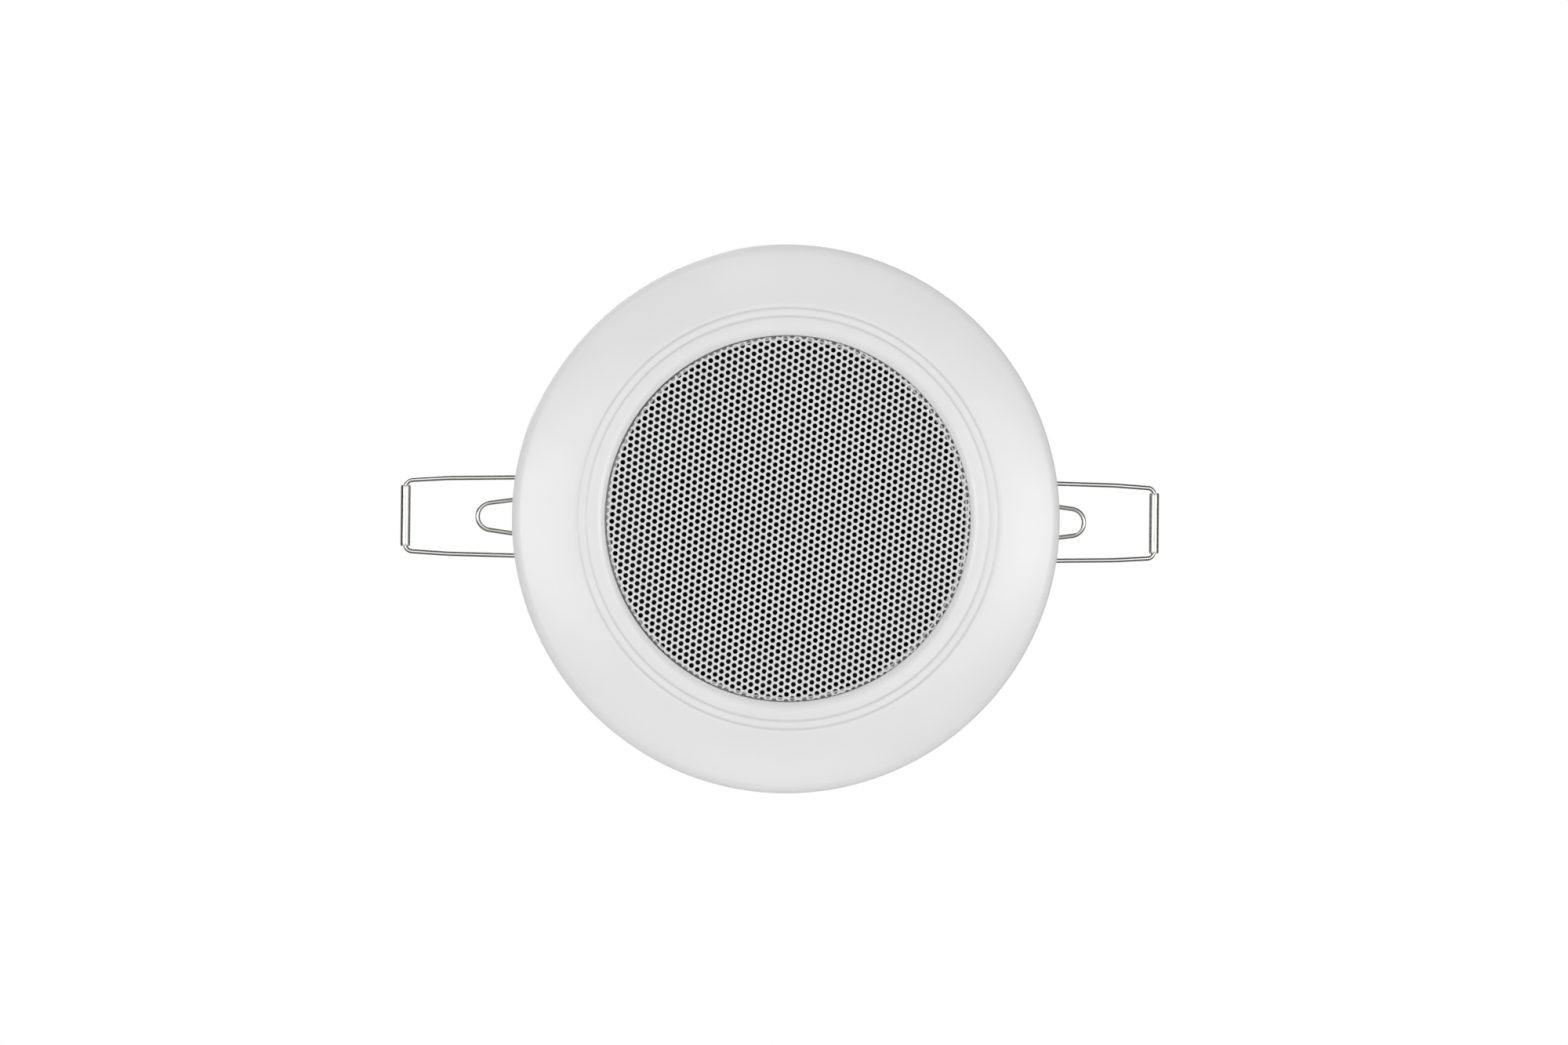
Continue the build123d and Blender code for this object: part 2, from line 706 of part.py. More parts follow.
def clip_pin(sign):
    """Pin through both ears and both coils, headed at each end."""
    ear_outer = ear_inner + bracket_sheet
    with BuildPart() as pin:
        with BuildSketch(Plane.XZ.offset(-ear_outer)):
            with Locations((sign * clip_axis, clip_axis_height)):
                Circle(pin_radius)
        extrude(amount=2 * ear_outer)
        head_planes = [Plane.XZ.offset(-ear_outer - pin_head_height), Plane.XZ.offset(ear_outer)]
        with BuildSketch(*head_planes):
            with Locations((sign * clip_axis, clip_axis_height)):
                Circle(pin_head_radius)
        extrude(amount=pin_head_height)
    return pin


clip_pieces = {
    "clip_spring": clip_spring,
    "clip_sleeve": clip_sleeve,
    "clip_bracket": clip_bracket,
    "clip_pin": clip_pin,
}
for side_name, side_sign in (("left", -1), ("right", 1)):
    for piece_name, make_piece in clip_pieces.items():
        clip_piece = make_piece(side_sign)
        clip_piece.part.label = f"{side_name}_{piece_name}"
        export_step(clip_piece.part, f"parts/{side_name}_{piece_name}.step")

# Rivets: two through each bracket and collar flat
with BuildPart() as bracket_rivets:
    for sign in (-1, 1):
        shank_length = collar_wall + bracket_sheet
        with BuildSketch(Plane.YZ.offset(sign * collar_inner_flat)):
            with Locations(*rivet_line):
                RegularPolygon(rivet_radius, fastener_sides, major_radius=False)
        extrude(amount=sign * shank_length)
        with BuildSketch(Plane.YZ.offset(sign * collar_inner_flat)):
            with Locations(*rivet_line):
                RegularPolygon(rivet_head_radius, fastener_sides)
        extrude(amount=-sign * rivet_head_height)
        with BuildSketch(Plane.YZ.offset(sign * bracket_face)):
            with Locations(*rivet_line):
                RegularPolygon(rivet_head_radius, fastener_sides)
        extrude(amount=sign * rivet_head_height)
bracket_rivets.part.label = "bracket_rivets"
export_step(bracket_rivets.part, "parts/bracket_rivets.step")
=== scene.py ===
"""Round in-ceiling speaker, dressed for close views.

A white moulded bezel with a perforated grille, a small cone driver behind it and two nickel wire clips.
Metres, in the packed frame: +Z up into the ceiling void, the grille faces -Z and the clips are on X.
"""

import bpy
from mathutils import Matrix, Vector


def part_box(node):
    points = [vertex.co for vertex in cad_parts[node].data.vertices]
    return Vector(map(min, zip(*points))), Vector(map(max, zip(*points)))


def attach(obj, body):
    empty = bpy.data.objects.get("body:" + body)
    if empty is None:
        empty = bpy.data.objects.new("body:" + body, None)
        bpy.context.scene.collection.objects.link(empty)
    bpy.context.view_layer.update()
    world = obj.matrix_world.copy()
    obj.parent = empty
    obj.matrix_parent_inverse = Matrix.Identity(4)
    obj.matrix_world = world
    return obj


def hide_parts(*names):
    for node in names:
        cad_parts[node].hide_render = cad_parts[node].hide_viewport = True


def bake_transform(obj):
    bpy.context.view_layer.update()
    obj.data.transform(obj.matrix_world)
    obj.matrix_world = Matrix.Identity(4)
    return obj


bl_info = {
    "name": "In-ceiling speaker",
    "version": (1, 0, 0),
    "blender": (4, 5, 0),
    "location": "3D View > Sidebar > Speaker",
    "description": "Builds the finished pieces of a round in-ceiling speaker on its packed frame",
    "category": "Object",
}

from math import acos, atan2, cos, pi, radians, sin, sqrt, tan

import bmesh
import bpy
from bpy.props import FloatProperty, FloatVectorProperty, IntProperty, PointerProperty
from bpy.types import Operator, Panel, PropertyGroup
from mathutils import Matrix, Vector

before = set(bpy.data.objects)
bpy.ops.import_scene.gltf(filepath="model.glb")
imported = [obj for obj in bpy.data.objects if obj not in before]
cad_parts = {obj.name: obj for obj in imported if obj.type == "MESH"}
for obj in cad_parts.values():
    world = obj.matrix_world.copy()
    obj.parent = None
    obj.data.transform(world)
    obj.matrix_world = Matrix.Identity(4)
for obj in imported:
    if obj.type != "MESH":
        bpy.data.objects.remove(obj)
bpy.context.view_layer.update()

MM = 0.001
SPEAKER, DIAPHRAGM = "speaker", "diaphragm"
CLIP_SIDES = (("left", -1), ("right", 1))
SCREW_COUNT = 4

# Where faces meet smoothly, how much of a side a curved corner takes at most, and how close points are welded
SMOOTH_ANGLE = radians(38)
GRILLE_SMOOTH_ANGLE = radians(30)
FLAT_ANGLE = radians(0.6)
CORNER_SHARE = 0.45
WELD, CAD_WELD, CELL_WELD_SHARE = 1e-7, 1e-6, 0.01

# How finely curves are drawn
RIM_STEPS, FACE_STEPS, LIP_STEPS, FLOOR_STEPS, GROOVE_STEPS = 14, 24, 10, 10, 8
COLLAR_ARC_STEPS, COLLAR_FLAT_STEPS, BOSS_SIDES = 56, 6, 24
HOLE_SIDES, DISC_SIDES, SPARE_ROWS = 12, 240, 5
ROLL_STEPS, WAVE_STEPS, SECTOR_STEPS, CAP_SIDES, CONE_SIDES, PLATE_SIDES = 20, 12, 12, 96, 144, 160
SWELL_STEPS, HEAD_STEPS, SCREW_SIDES, RIVET_SIDES = 12, 8, 36, 28
CORNER_STEPS, BEND_STEPS, COIL_STEPS, LOOP_STEPS, LEAD_STEPS = 8, 6, 28, 12, 12
ARM_SIDES, COIL_SIDES, LEAD_SIDES = 16, 14, 12
SLEEVE_ROWS, SLEEVE_STEPS = 34, 40

# Small sizes of the diaphragm, the fasteners and the clips
CAP_SHEET_SHARE = 0.7
CONE_EASE = 1.2 * MM
ROLL_MARGINS = (0.5 * MM, 0.1 * MM)
SPIDER_MARGIN = 0.5 * MM
SWELL_SHARE = 0.42
SHANK_BELOW_FRAME = 0.2 * MM
RECESS_DEPTH, RECESS_EDGE = 0.9 * MM, 0.01 * MM
RECESS_REACH, RECESS_SLOT, RECESS_TAPER, SCREW_TURN = 0.62, 0.2, 0.55, 0.4
SCREW_WALL, SCREW_ROUNDNESS = 0.25, 0.7
CROWN_WALL, TAIL_WALL, TAIL_ROUNDNESS = 0.12, 0.1, 0.6
ARM_EASE = 1.3 * MM
SEAM, SEAM_GAP = radians(-50), radians(10)
SLEEVE_LAP, SLEEVE_TRIM = 0.07 * MM, 0.06 * MM
BRACKET_EDGE = 0.12 * MM

# Waves of the sleeves' seam: how far each sways, its rate along the sleeve and where it starts
SEAM_WAVES = ((radians(1.6), 23, 1), (radians(1.2), 57, 0))

# Way of the right-hand tinsel lead from its tag to the cone, in millimetres
LEAD_ROUTE = (
    (6.0, 26.43, 11.4),
    (6.0, 24.83, 11.8),
    (5.5, 22.74, 10.12),
    (5.2, 18.67, 9.08),
    (5.2, 14.60, 8.68),
)

# Soft boxes round the speaker: place along X and Y, brightness of the high box and of the low one
SOFT_BOXES = {
    "left": (-1, 0, 0.90, 1.0),
    "right": (1, 0, 0.95, 1.0),
    "upper": (0, -1, 1.00, 0.9),
    "lower": (0, 1, 1.20, 1.1),
}
HIGH_BOX_AWAY, HIGH_BOX_DROP, HIGH_BOX_SIZE = 0.72, 0.70, (0.6, 0.6)
LOW_BOX_AWAY, LOW_BOX_DROP, LOW_BOX_SIZE = 0.8, 0.09, (0.6, 0.15)
REAR_BOX_PLACE, REAR_BOX_SIZE, REAR_BOX_SHARE = (-0.5, -0.7, 0.9), (0.7, 0.7), 2.0

# The camera's sensor in millimetres, and the floor's paper
SENSOR_WIDTH = 36.0
FLOOR_WHITE, FLOOR_ROUGHNESS = 0.86, 0.9

# Headings at which each light of the room begins and is full, and how bright its board and dim parts are
STRIP_SIDE, STRIP_EDGE, STRIP_FRONT, STRIP_MIDDLE = (0.05, 0.22), (0.27, 0.08), (0.36, 0.52), 0.45
TENT_OUTSIDE, TENT_INSIDE = (0.55, 0.75), (0.985, 0.88)
BOARD_EDGE, BOARD_WHITE, BOARD_GLOW = (0.85, 0.97), 0.86, (-0.1, 0.2)
ROOM_EDGE, ROOM_DIM, ROOM_RISE = (0.1, 0.4), 0.07, 0.16


def low(node):
    """Lowest corner of a node at rest."""
    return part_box(node)[0]


def high(node):
    """Highest corner of a node at rest."""
    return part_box(node)[1]


def length(name, description, default):
    """A length in metres that a user may change."""
    return FloatProperty(name=name, description=description, default=default, unit="LENGTH", precision=5)


def turn(name, description, degrees):
    """An angle that a user may change."""
    return FloatProperty(name=name, description=description, default=radians(degrees), subtype="ANGLE")


def amount(name, description, default):
    """A plain number that a user may change."""
    return FloatProperty(name=name, description=description, default=default)


def whole(name, description, default):
    """A whole number that a user may change."""
    return IntProperty(name=name, description=description, default=default)


def colour(name, description, default):
    """A surface colour that a user may change."""
    limits = {"size": 3, "min": 0, "max": 1}
    return FloatVectorProperty(name=name, description=description, default=default, subtype="COLOR", **limits)


class BezelSizes(PropertyGroup):
    """The white moulding: turned shell, collar, ribs and screw bosses."""

    outer_radius: length("Outer radius", "Radius of the rim", high("bezel").x)
    front: length("Front", "Height of the front ring", low("bezel").z)
    rim_height: length("Rim height", "Straight part of the rim", 0.9 * MM)
    rim_width: length("Rim width", "Width of the flat that meets the ceiling", 2.2 * MM)
    edge_width: length("Edge width", "Width of the rounded edge", 2.1 * MM)
    edge_drop: length("Edge drop", "Height of the rounded edge", 3.1 * MM)
    bulge: length("Bulge", "Rise of the domed face above its chord", 0.4 * MM)
    wall: length("Wall", "Thickness of the shell", 2.0 * MM)
    opening_radius: length("Opening radius", "Radius of the grille's recess", 39.2 * MM)
    ring_step: length("Front ring", "Width of the flat ring round the opening", 6.6 * MM)
    outer_line_step: length("Outer line", "Outer ring line, from the opening", 5.8 * MM)
    inner_line_step: length("Inner line", "Inner ring line, from the opening", 4.0 * MM)
    line_width: length("Line width", "Width of a ring line", 0.46 * MM)
    line_depth: length("Line depth", "Depth of a ring line", 0.10 * MM)
    lip_width: length("Lip width", "Width of the opening's rounded lip", 1.8 * MM)
    lip_depth: length("Lip depth", "Depth of the opening's rounded lip", 1.5 * MM)
    ledge_width: length("Ledge width", "Ledge that carries the grille", 1.0 * MM)
    gap_width: length("Gap width", "Groove beside the ledge, round the grille's edge", 0.45 * MM)
    gap_depth: length("Gap depth", "Depth of that groove", 1.5 * MM)
    ledge_thickness: length("Ledge thickness", "From the grille to the driver's seat", 2.5 * MM)
    seat_width: length("Seat width", "Ring that carries the driver", 3.0 * MM)
    collar_radius: length("Collar radius", "Outside of the collar", 45.6 * MM)
    collar_flat: length("Collar flat", "Distance of the flats from the axis", 43.6 * MM)
    collar_wall: length("Collar wall", "Thickness of the collar", 1.8 * MM)
    collar_top: length("Collar top", "Height of the collar", high("bezel").z)
    soft_edge: length("Soft edge", "Rounding of moulded edges", 0.3 * MM)
    rib_count: whole("Ribs", "Ribs between collar and rim", 12)
    rib_thickness: length("Rib thickness", "Thickness of a rib", 1.4 * MM)
    rib_recess: length("Rib recess", "Gap of a rib below the rim", 0.8 * MM)
    boss_radius: length("Boss radius", "Radius of a screw boss", 2.5 * MM)
    segments: whole("Segments", "Facets round the moulding", 288)


class GrilleSizes(PropertyGroup):
    """The punched steel disc."""

    radius: length("Radius", "Radius of the disc", high("grille").x)
    front: length("Front", "Height of the front face", low("grille").z)
    thickness: length("Thickness", "Thickness of the sheet", high("grille").z - low("grille").z)
    pitch: length("Pitch", "Distance between holes", 1.5 * MM)
    hole_radius: length("Hole radius", "Radius of a hole", 0.55 * MM)
    hole_turn: turn("Hole rows", "Turn of the rows of holes", 34.2)
    sideways: length("Sideways", "The disc's play in its recess", 0.17 * MM)


class DriverSizes(PropertyGroup):
    """The loudspeaker driver behind the grille."""

    land: length("Land", "Height of the surround's seat", high("surround").z)
    surround_radius: length("Surround radius", "Outside of the surround", high("surround").x)
    surround_land: length("Surround land", "Width of the surround's outer land", 2.6 * MM)
    surround_inner: length("Surround inside", "Inner edge of the surround", 29.2 * MM)
    surround_sheet: length("Surround sheet", "Thickness of the rubber", 0.4 * MM)
    roll_height: length("Roll height", "Rise of the half roll", 1.5 * MM)
    cone_radius: length("Cone radius", "Outside of the cone's lip", high("cone").x)
    cone_sheet: length("Cone sheet", "Thickness of the paper", 0.6 * MM)
    neck_radius: length("Neck radius", "Inner edge of the cone", 8.45 * MM)
    neck: length("Neck", "Height of the cone's neck", high("cone").z - 0.6 * MM)
    cap_radius: length("Cap radius", "Radius of the dust cap", high("dust_cap").x)
    cap_front: length("Cap front", "Lowest point of the dust cap", low("dust_cap").z)
    cap_rear: length("Cap rear", "Rim of the dust cap", high("dust_cap").z)
    spider_radius: length("Spider radius", "Outside of the centring disc", high("spider").x)
    spider_flat: length("Spider flat", "Inner edge of its glued land", 16.0 * MM)
    spider_front: length("Spider front", "Lowest face of the centring disc", low("spider").z)
    spider_wave: length("Spider wave", "Height of its waves", 0.8 * MM)
    spider_waves: whole("Spider waves", "Waves of the disc", 4)
    sectors: whole("Sectors", "Sectors of the soft rings", 16)
    gap_radius: length("Gap radius", "Bore of the top plate", 9.5 * MM)
    pole_radius: length("Pole radius", "Radius of the pole piece", 7.5 * MM)
    magnet_bore: length("Magnet bore", "Bore of the magnet", 12.0 * MM)
    plate_edge: length("Plate edge", "Chamfer of the turned plates", 0.5 * MM)
    swell: length("Gasket body", "Width of the gasket behind its swollen edge", 2.4 * MM)
    swell_gap: length("Gasket gap", "From the surround to the gasket's swollen edge", 0.2 * MM)
    screw_ring: length("Screw ring", "Distance of the screws from the axis", 41.2 * MM)
    screw_seat: length("Screw seat", "Height of the screw heads' seat", 0.1 * MM)
    screw_radius: length("Screw head", "Radius of a screw head", 2.2 * MM)
    screw_height: length("Screw height", "Height of a screw head", 1.6 * MM)
    lead_radius: length("Lead radius", "Radius of a tinsel lead", 0.4 * MM)
    soft_edge: length("Soft edge", "Rounding of stamped edges", 0.12 * MM)


class ClipSizes(PropertyGroup):
    """The two double torsion springs and what holds them."""

    axis_x: length("Axis", "Distance of a hinge pin from the middle", 47.6 * MM)
    axis_z: length("Axis height", "Height of a hinge pin", 13.5 * MM)
    wire_radius: length("Wire radius", "Radius of the wire", 0.5 * MM)
    coil_radius: length("Coil radius", "Radius of the coils, at the wire's middle", 2.4 * MM)
    coil_turns: whole("Coil turns", "Full turns of a coil", 2)
    root_half: length("Arm spread", "Half the distance of the arms at the coils", 8.68 * MM)
    coil_length: length("Coil length", "Length of a coil along its pin", 3.5 * MM)
    arm_slope: turn("Arm slope", "Rise of the arms", 6)
    tip_lift: turn("Tip lift", "Extra rise past the bend", 3)
    bend_reach: length("Bend", "Distance of the bend from the pin", 25.6 * MM)
    bend_half: length("Bend spread", "Half the distance of the arms at the bend", 8.23 * MM)
    end_reach: length("End", "Distance of the crossbar from the pin", 34.6 * MM)
    end_half: length("End spread", "Half the distance of the arms at the end", 7.78 * MM)
    corner_radius: length("Corner", "Bend radius of the end corners", 1.5 * MM)
    loop_slope: turn("Inner slope", "Fall of the inner loop", 4)
    loop_reach: length("Inner loop", "Distance of the inner loop's tip", 18.96 * MM)
    loop_radius: length("Inner tip", "Bend radius of the inner loop's tip", 3.0 * MM)
    sleeve_half: length("Sleeve", "Half the length of a sleeve", 6.62 * MM)
    sleeve_radius: length("Sleeve radius", "Outside of the rolled sleeve", 1.1 * MM)
    sleeve_sheet: length("Sleeve sheet", "Thickness of the sleeve", 0.34 * MM)
    rivet_x: length("Rivet seat", "Distance of the rivet heads from the middle", 44.4 * MM)
    rivet_tail: length("Rivet tail", "Distance of the rivet tails from the middle", 41.8 * MM)
    rivet_z: length("Rivet height", "Height of the rivets", 6.6 * MM)
    rivet_half: length("Rivet spread", "Half the distance of two rivets", 7.5 * MM)
    rivet_radius: length("Rivet head", "Radius of a rivet head", 2.1 * MM)
    rivet_rise: length("Rivet rise", "Height of a rivet head", 1.0 * MM)


class Finishes(PropertyGroup):
    """Colours of the finishes."""

    plastic: colour("Plastic", "Moulded white plastic", (0.81, 0.813, 0.81))
    paint: colour("Paint", "White powder coat", (0.775, 0.777, 0.775))
    nickel: colour("Nickel", "Bright nickel plate", (0.72, 0.695, 0.66))
    zinc: colour("Zinc", "Zinc-plated steel", (0.62, 0.63, 0.64))
    paper: colour("Paper", "Black pressed paper", (0.010, 0.010, 0.011))
    rubber: colour("Rubber", "Black rubber", (0.010, 0.010, 0.011))
    ferrite: colour("Ferrite", "Ground ferrite", (0.055, 0.055, 0.06))
    cloth: colour("Cloth", "Resin-treated cloth", (0.50, 0.31, 0.11))
    copper: colour("Copper", "Copper wire", (0.70, 0.36, 0.19))
    fibre: colour("Fibre", "Laminated fibre board", (0.20, 0.105, 0.055))
    aluminium: colour("Aluminium", "Thin rolled sheet", (0.76, 0.76, 0.77))
    tin: colour("Tin", "Tinned brass", (0.72, 0.69, 0.62))


class StageSettings(PropertyGroup):
    """Camera, floor and light."""

    distance: length("Camera distance", "From the camera to the ceiling plane", 0.80)
    sideways: turn("Camera sideways", "Camera's place to the left of the axis", 3.7)
    upward: turn("Camera along", "Camera's place below the axis in the picture", 0.5)
    roll: turn("Camera roll", "Turn of the picture", 0.57)
    lens: amount("Lens", "Focal length in millimetres", 85.36)
    aim_x: length("Aim across", "Point at the picture's middle, across", -0.58 * MM)
    aim_y: length("Aim along", "Point at the picture's middle, along", 0.80 * MM)
    floor_size: length("Floor", "Side of the floor", 4.0)
    room: amount("Room light", "Light from the camera's side", 0.30)
    board: amount("Board light", "Light from the white board behind the speaker", 0.80)
    tent: amount("Tent", "Brightness of the tent in reflections", 0.50)
    strip: amount("Strip", "Brightness of the strip of light in reflections", 2.1)
    lamp: amount("Soft boxes", "Brightness of the soft boxes", 2.02)
    low_lamp: amount("Low boxes", "Brightness of the boxes beside the speaker", 3.0)


def shares(steps):
    """Even steps from 0 to 1, both included."""
    return [step / steps for step in range(steps + 1)]


def tangent_arc(start, heading, end, steps):
    """Points of the arc that leaves start along heading and ends at end, without start."""
    start, end = Vector(start), Vector(end)
    chord = end - start
    normal = Vector((-heading[1], heading[0]))
    centre = start + normal * (chord.length_squared / (2 * chord.dot(normal)))
    first, last = start - centre, end - centre
    angle = atan2(first.x * last.y - first.y * last.x, first.dot(last))
    return [tuple(centre + Matrix.Rotation(angle * share, 2) @ first) for share in shares(steps)[1:]]


def bowed(start, end, rise, steps):
    """Points of a shallow bow from start to end, without start, rising to the left of its chord."""
    start, end = Vector(start), Vector(end)
    side = Vector((start.y - end.y, end.x - start.x)).normalized() * rise * 4
    return [tuple(start.lerp(end, share) + side * share * (1 - share)) for share in shares(steps)[1:]]


def bend(first, corner, last, steps):
    """Points of a short curve from first to last that is drawn towards a corner."""
    return [first.lerp(corner, share).lerp(corner.lerp(last, share), share) for share in shares(steps)]


def eased(corners, reach, steps=4, closed=True):
    """A line of points in which each sharp corner is a short curve."""
    line = [Vector(corner) for corner in corners]
    result = []
    for here, corner in enumerate(line):
        before = line[here - 1] - corner
        after = line[(here + 1) % len(line)] - corner
        at_end = not closed and here in (0, len(line) - 1)
        if at_end or before.angle(-after) < SMOOTH_ANGLE / 2:
            result.append(corner)
            continue
        span = min(reach, before.length * CORNER_SHARE, after.length * CORNER_SHARE)
        result += bend(corner + before.normalized() * span, corner, corner + after.normalized() * span, steps)
    return [tuple(point) for point in result]


def ribbon(line, thickness):
    """The closed outline of a sheet of even thickness along a line of points."""
    line = [Vector(point) for point in line]
    sides = ([], [])
    for here, point in enumerate(line):
        along = line[min(here + 1, len(line) - 1)] - line[max(here - 1, 0)]
        normal = Vector((-along.y, along.x)).normalized() * thickness / 2
        sides[0].append(tuple(point + normal))
        sides[1].append(tuple(point - normal))
    return sides[0] + sides[1][::-1]


def new_object(name, mesh):
    """A new object at the origin that shows a mesh."""
    piece = bpy.data.objects.new(name, mesh)
    bpy.context.scene.collection.objects.link(piece)
    return piece


def from_points(name, points, faces, edges=()):
    """A new object from points and faces, or from points and edges."""
    mesh = bpy.data.meshes.new(name)
    mesh.from_pydata([tuple(point) for point in points], list(edges), faces)
    mesh.update()
    return new_object(name, mesh)


def clean(piece):
    """Weld a piece's doubles and turn its faces outwards."""
    shape = bmesh.new()
    shape.from_mesh(piece.data)
    bmesh.ops.remove_doubles(shape, verts=shape.verts, dist=WELD)
    bmesh.ops.dissolve_degenerate(shape, dist=WELD, edges=shape.edges)
    bmesh.ops.recalc_face_normals(shape, faces=shape.faces)
    shape.to_mesh(piece.data)
    shape.free()
    return piece


def smooth(piece, angle=SMOOTH_ANGLE):
    """Shade a piece smooth, with hard edges where its faces turn sharply."""
    piece.data.shade_smooth()
    piece.data.set_sharp_from_angle(angle=angle)
    return piece


def walls(rows, count, ring):
    """Four-sided faces between rows of points, each a closed loop; in a ring the last row meets the first."""
    faces = []
    for row in range(rows if ring else rows - 1):
        here, there = row * count, (row + 1) % rows * count
        for step in range(count):
            onward = (step + 1) % count
            faces.append((here + step, there + step, there + onward, here + onward))
    return faces


def lathe(name, outline, segments, centre=(0, 0), begin=0.0, sweep=2 * pi):
    """Turn a closed outline of (radius, height) about an upright line."""
    full = sweep >= 2 * pi
    rows = segments if full else segments + 1
    points = []
    for row in range(rows):
        angle = begin + sweep * row / segments
        for radius, height in outline:
            points.append((centre[0] + radius * cos(angle), centre[1] + radius * sin(angle), height))
    count = len(outline)
    faces = walls(rows, count, full)
    if not full:
        faces += [tuple(range(count)), tuple(range(segments * count, rows * count))[::-1]]
    return smooth(clean(from_points(name, points, faces)))


def prism(name, outline, place, thickness, edge):
    """A plate with rounded edges: a flat outline, put in place by a matrix and made thick."""
    shape = bmesh.new()
    face = shape.faces.new([shape.verts.new((x, y, -thickness / 2)) for x, y in outline])
    grown = bmesh.ops.extrude_face_region(shape, geom=[face])["geom"]
    raised = [item for item in grown if isinstance(item, bmesh.types.BMVert)]
    bmesh.ops.translate(shape, verts=raised, vec=(0, 0, thickness))
    bmesh.ops.recalc_face_normals(shape, faces=shape.faces)
    sharp = [item for item in shape.edges if item.calc_face_angle(0) > SMOOTH_ANGLE]
    rounding = {"offset": edge, "segments": 2, "profile": 0.5, "affect": "EDGES", "clamp_overlap": True}
    bmesh.ops.bevel(shape, geom=sharp, **rounding)
    bmesh.ops.transform(shape, matrix=place, verts=shape.verts)
    bmesh.ops.recalc_face_normals(shape, faces=shape.faces)
    mesh = bpy.data.meshes.new(name)
    shape.to_mesh(mesh)
    shape.free()
    return smooth(new_object(name, mesh))


def plain(piece):
    """Turn a piece with modifiers into a plain mesh."""
    seen = piece.evaluated_get(bpy.context.evaluated_depsgraph_get())
    mesh = bpy.data.meshes.new_from_object(seen)
    piece.modifiers.clear()
    spent, piece.data = piece.data, mesh
    bpy.data.meshes.remove(spent)
    return piece


def softened(node, edge):
    """A welded copy of a node's mesh with softened edges."""
    piece = new_object(f"{node}_finished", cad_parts[node].data.copy())
    piece.data.materials.clear()
    shape = bmesh.new()
    shape.from_mesh(piece.data)
    bmesh.ops.remove_doubles(shape, verts=shape.verts, dist=CAD_WELD)
    bmesh.ops.dissolve_limit(shape, angle_limit=FLAT_ANGLE, verts=shape.verts, edges=shape.edges)
    shape.to_mesh(piece.data)
    shape.free()
    bevel = piece.modifiers.new("soft_edge", "BEVEL")
    bevel.width, bevel.segments = edge, 2
    bevel.limit_method, bevel.angle_limit = "ANGLE", SMOOTH_ANGLE
    return smooth(plain(piece))


def joined(name, pieces):
    """One object from several, which are used up."""
    shape = bmesh.new()
    for piece in pieces:
        shape.from_mesh(piece.data)
        bpy.data.objects.remove(piece)
    mesh = bpy.data.meshes.new(name)
    shape.to_mesh(mesh)
    shape.free()
    return smooth(new_object(name, mesh))


def moved(piece, matrix):
    """Move a piece's mesh."""
    piece.data.transform(matrix)
    return smooth(piece)


def dress(piece, slot):
    """Give a piece the finish of a slot."""
    piece.data.materials.clear()
    piece.data.materials.append(finish_for(slot))


def settle(piece, slot, body, node):
    """Give a piece its finish and its body, and hide the node that it stands for."""
    dress(piece, slot)
    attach(piece, body)
    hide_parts(node)


def settle_across(piece, slot, node):
    """Like settle, but with no body: the piece's place is baked into its mesh."""
    dress(piece, slot)
    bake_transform(piece)
    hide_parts(node)


class NodeTree:
    """A node tree under construction, with short calls for its nodes and links."""

    def __init__(self, tree):
        self.tree = tree

    def add(self, kind, inputs=None, **settings):
        """A new node: settings are its own properties, inputs are values or sockets to link."""
        node = self.tree.nodes.new(kind)
        for name, value in settings.items():
            setattr(node, name, value)
        for key, value in (inputs or {}).items():
            self.feed(node.inputs[key], value)
        return node

    def out(self, kind, inputs=None, socket=0, **settings):
        """One output of a new node."""
        return self.add(kind, inputs, **settings).outputs[socket]

    def feed(self, socket, value):
        """Link a socket, or set its value."""
        if isinstance(value, bpy.types.NodeSocket):
            self.tree.links.new(value, socket)
        else:
            socket.default_value = value

    def math(self, operation, first, second=0.0):
        """A calculation with two numbers or sockets."""
        return self.out("ShaderNodeMath", {0: first, 1: second}, operation=operation)

    def times(self, first, *others):
        """The product of numbers or sockets."""
        for other in others:
            first = self.math("MULTIPLY", first, other)
        return first

    def plus(self, first, *others):
        """The sum of numbers or sockets."""
        for other in others:
            first = self.math("ADD", first, other)
        return first

    def vector(self, operation, inputs, socket=0):
        """A calculation with vectors."""
        return self.out("ShaderNodeVectorMath", inputs, socket, operation=operation)

    def parts(self, vector):
        """X, Y and Z of a vector."""
        return self.add("ShaderNodeSeparateXYZ", {0: vector}).outputs

    def ramp(self, value, start, end):
        """A value drawn out from the range start to end, held between 0 and 1."""
        return self.out("ShaderNodeMapRange", {"Value": value, "From Min": start, "From Max": end})

    def noise(self, vector, scale, detail):
        """Soft noise of a given scale."""
        return self.out("ShaderNodeTexNoise", {"Vector": vector, "Scale": scale, "Detail": detail})


def new_tree(name, kind, inputs, outputs):
    """A new node group with named sockets: its builder, its inputs and its outputs."""
    tree = bpy.data.node_groups.new(name, kind)
    for way, sockets in (("INPUT", inputs), ("OUTPUT", outputs)):
        for label, sort in sockets.items():
            tree.interface.new_socket(name=label, in_out=way, socket_type=f"NodeSocket{sort}")
    build = NodeTree(tree)
    return build, build.add("NodeGroupInput").outputs, build.add("NodeGroupOutput").inputs


def kept_tree(make):
    """A node group that is built on its first use."""
    name = make.__name__.rsplit("_", 1)[0]
    return bpy.data.node_groups.get(name) or make()


def shape_tree(name, inputs):
    """A new Geometry Nodes tree with named inputs and a finish."""
    return new_tree(name, "GeometryNodeTree", {**inputs, "Finish": "Material"}, {"Result": "Geometry"})


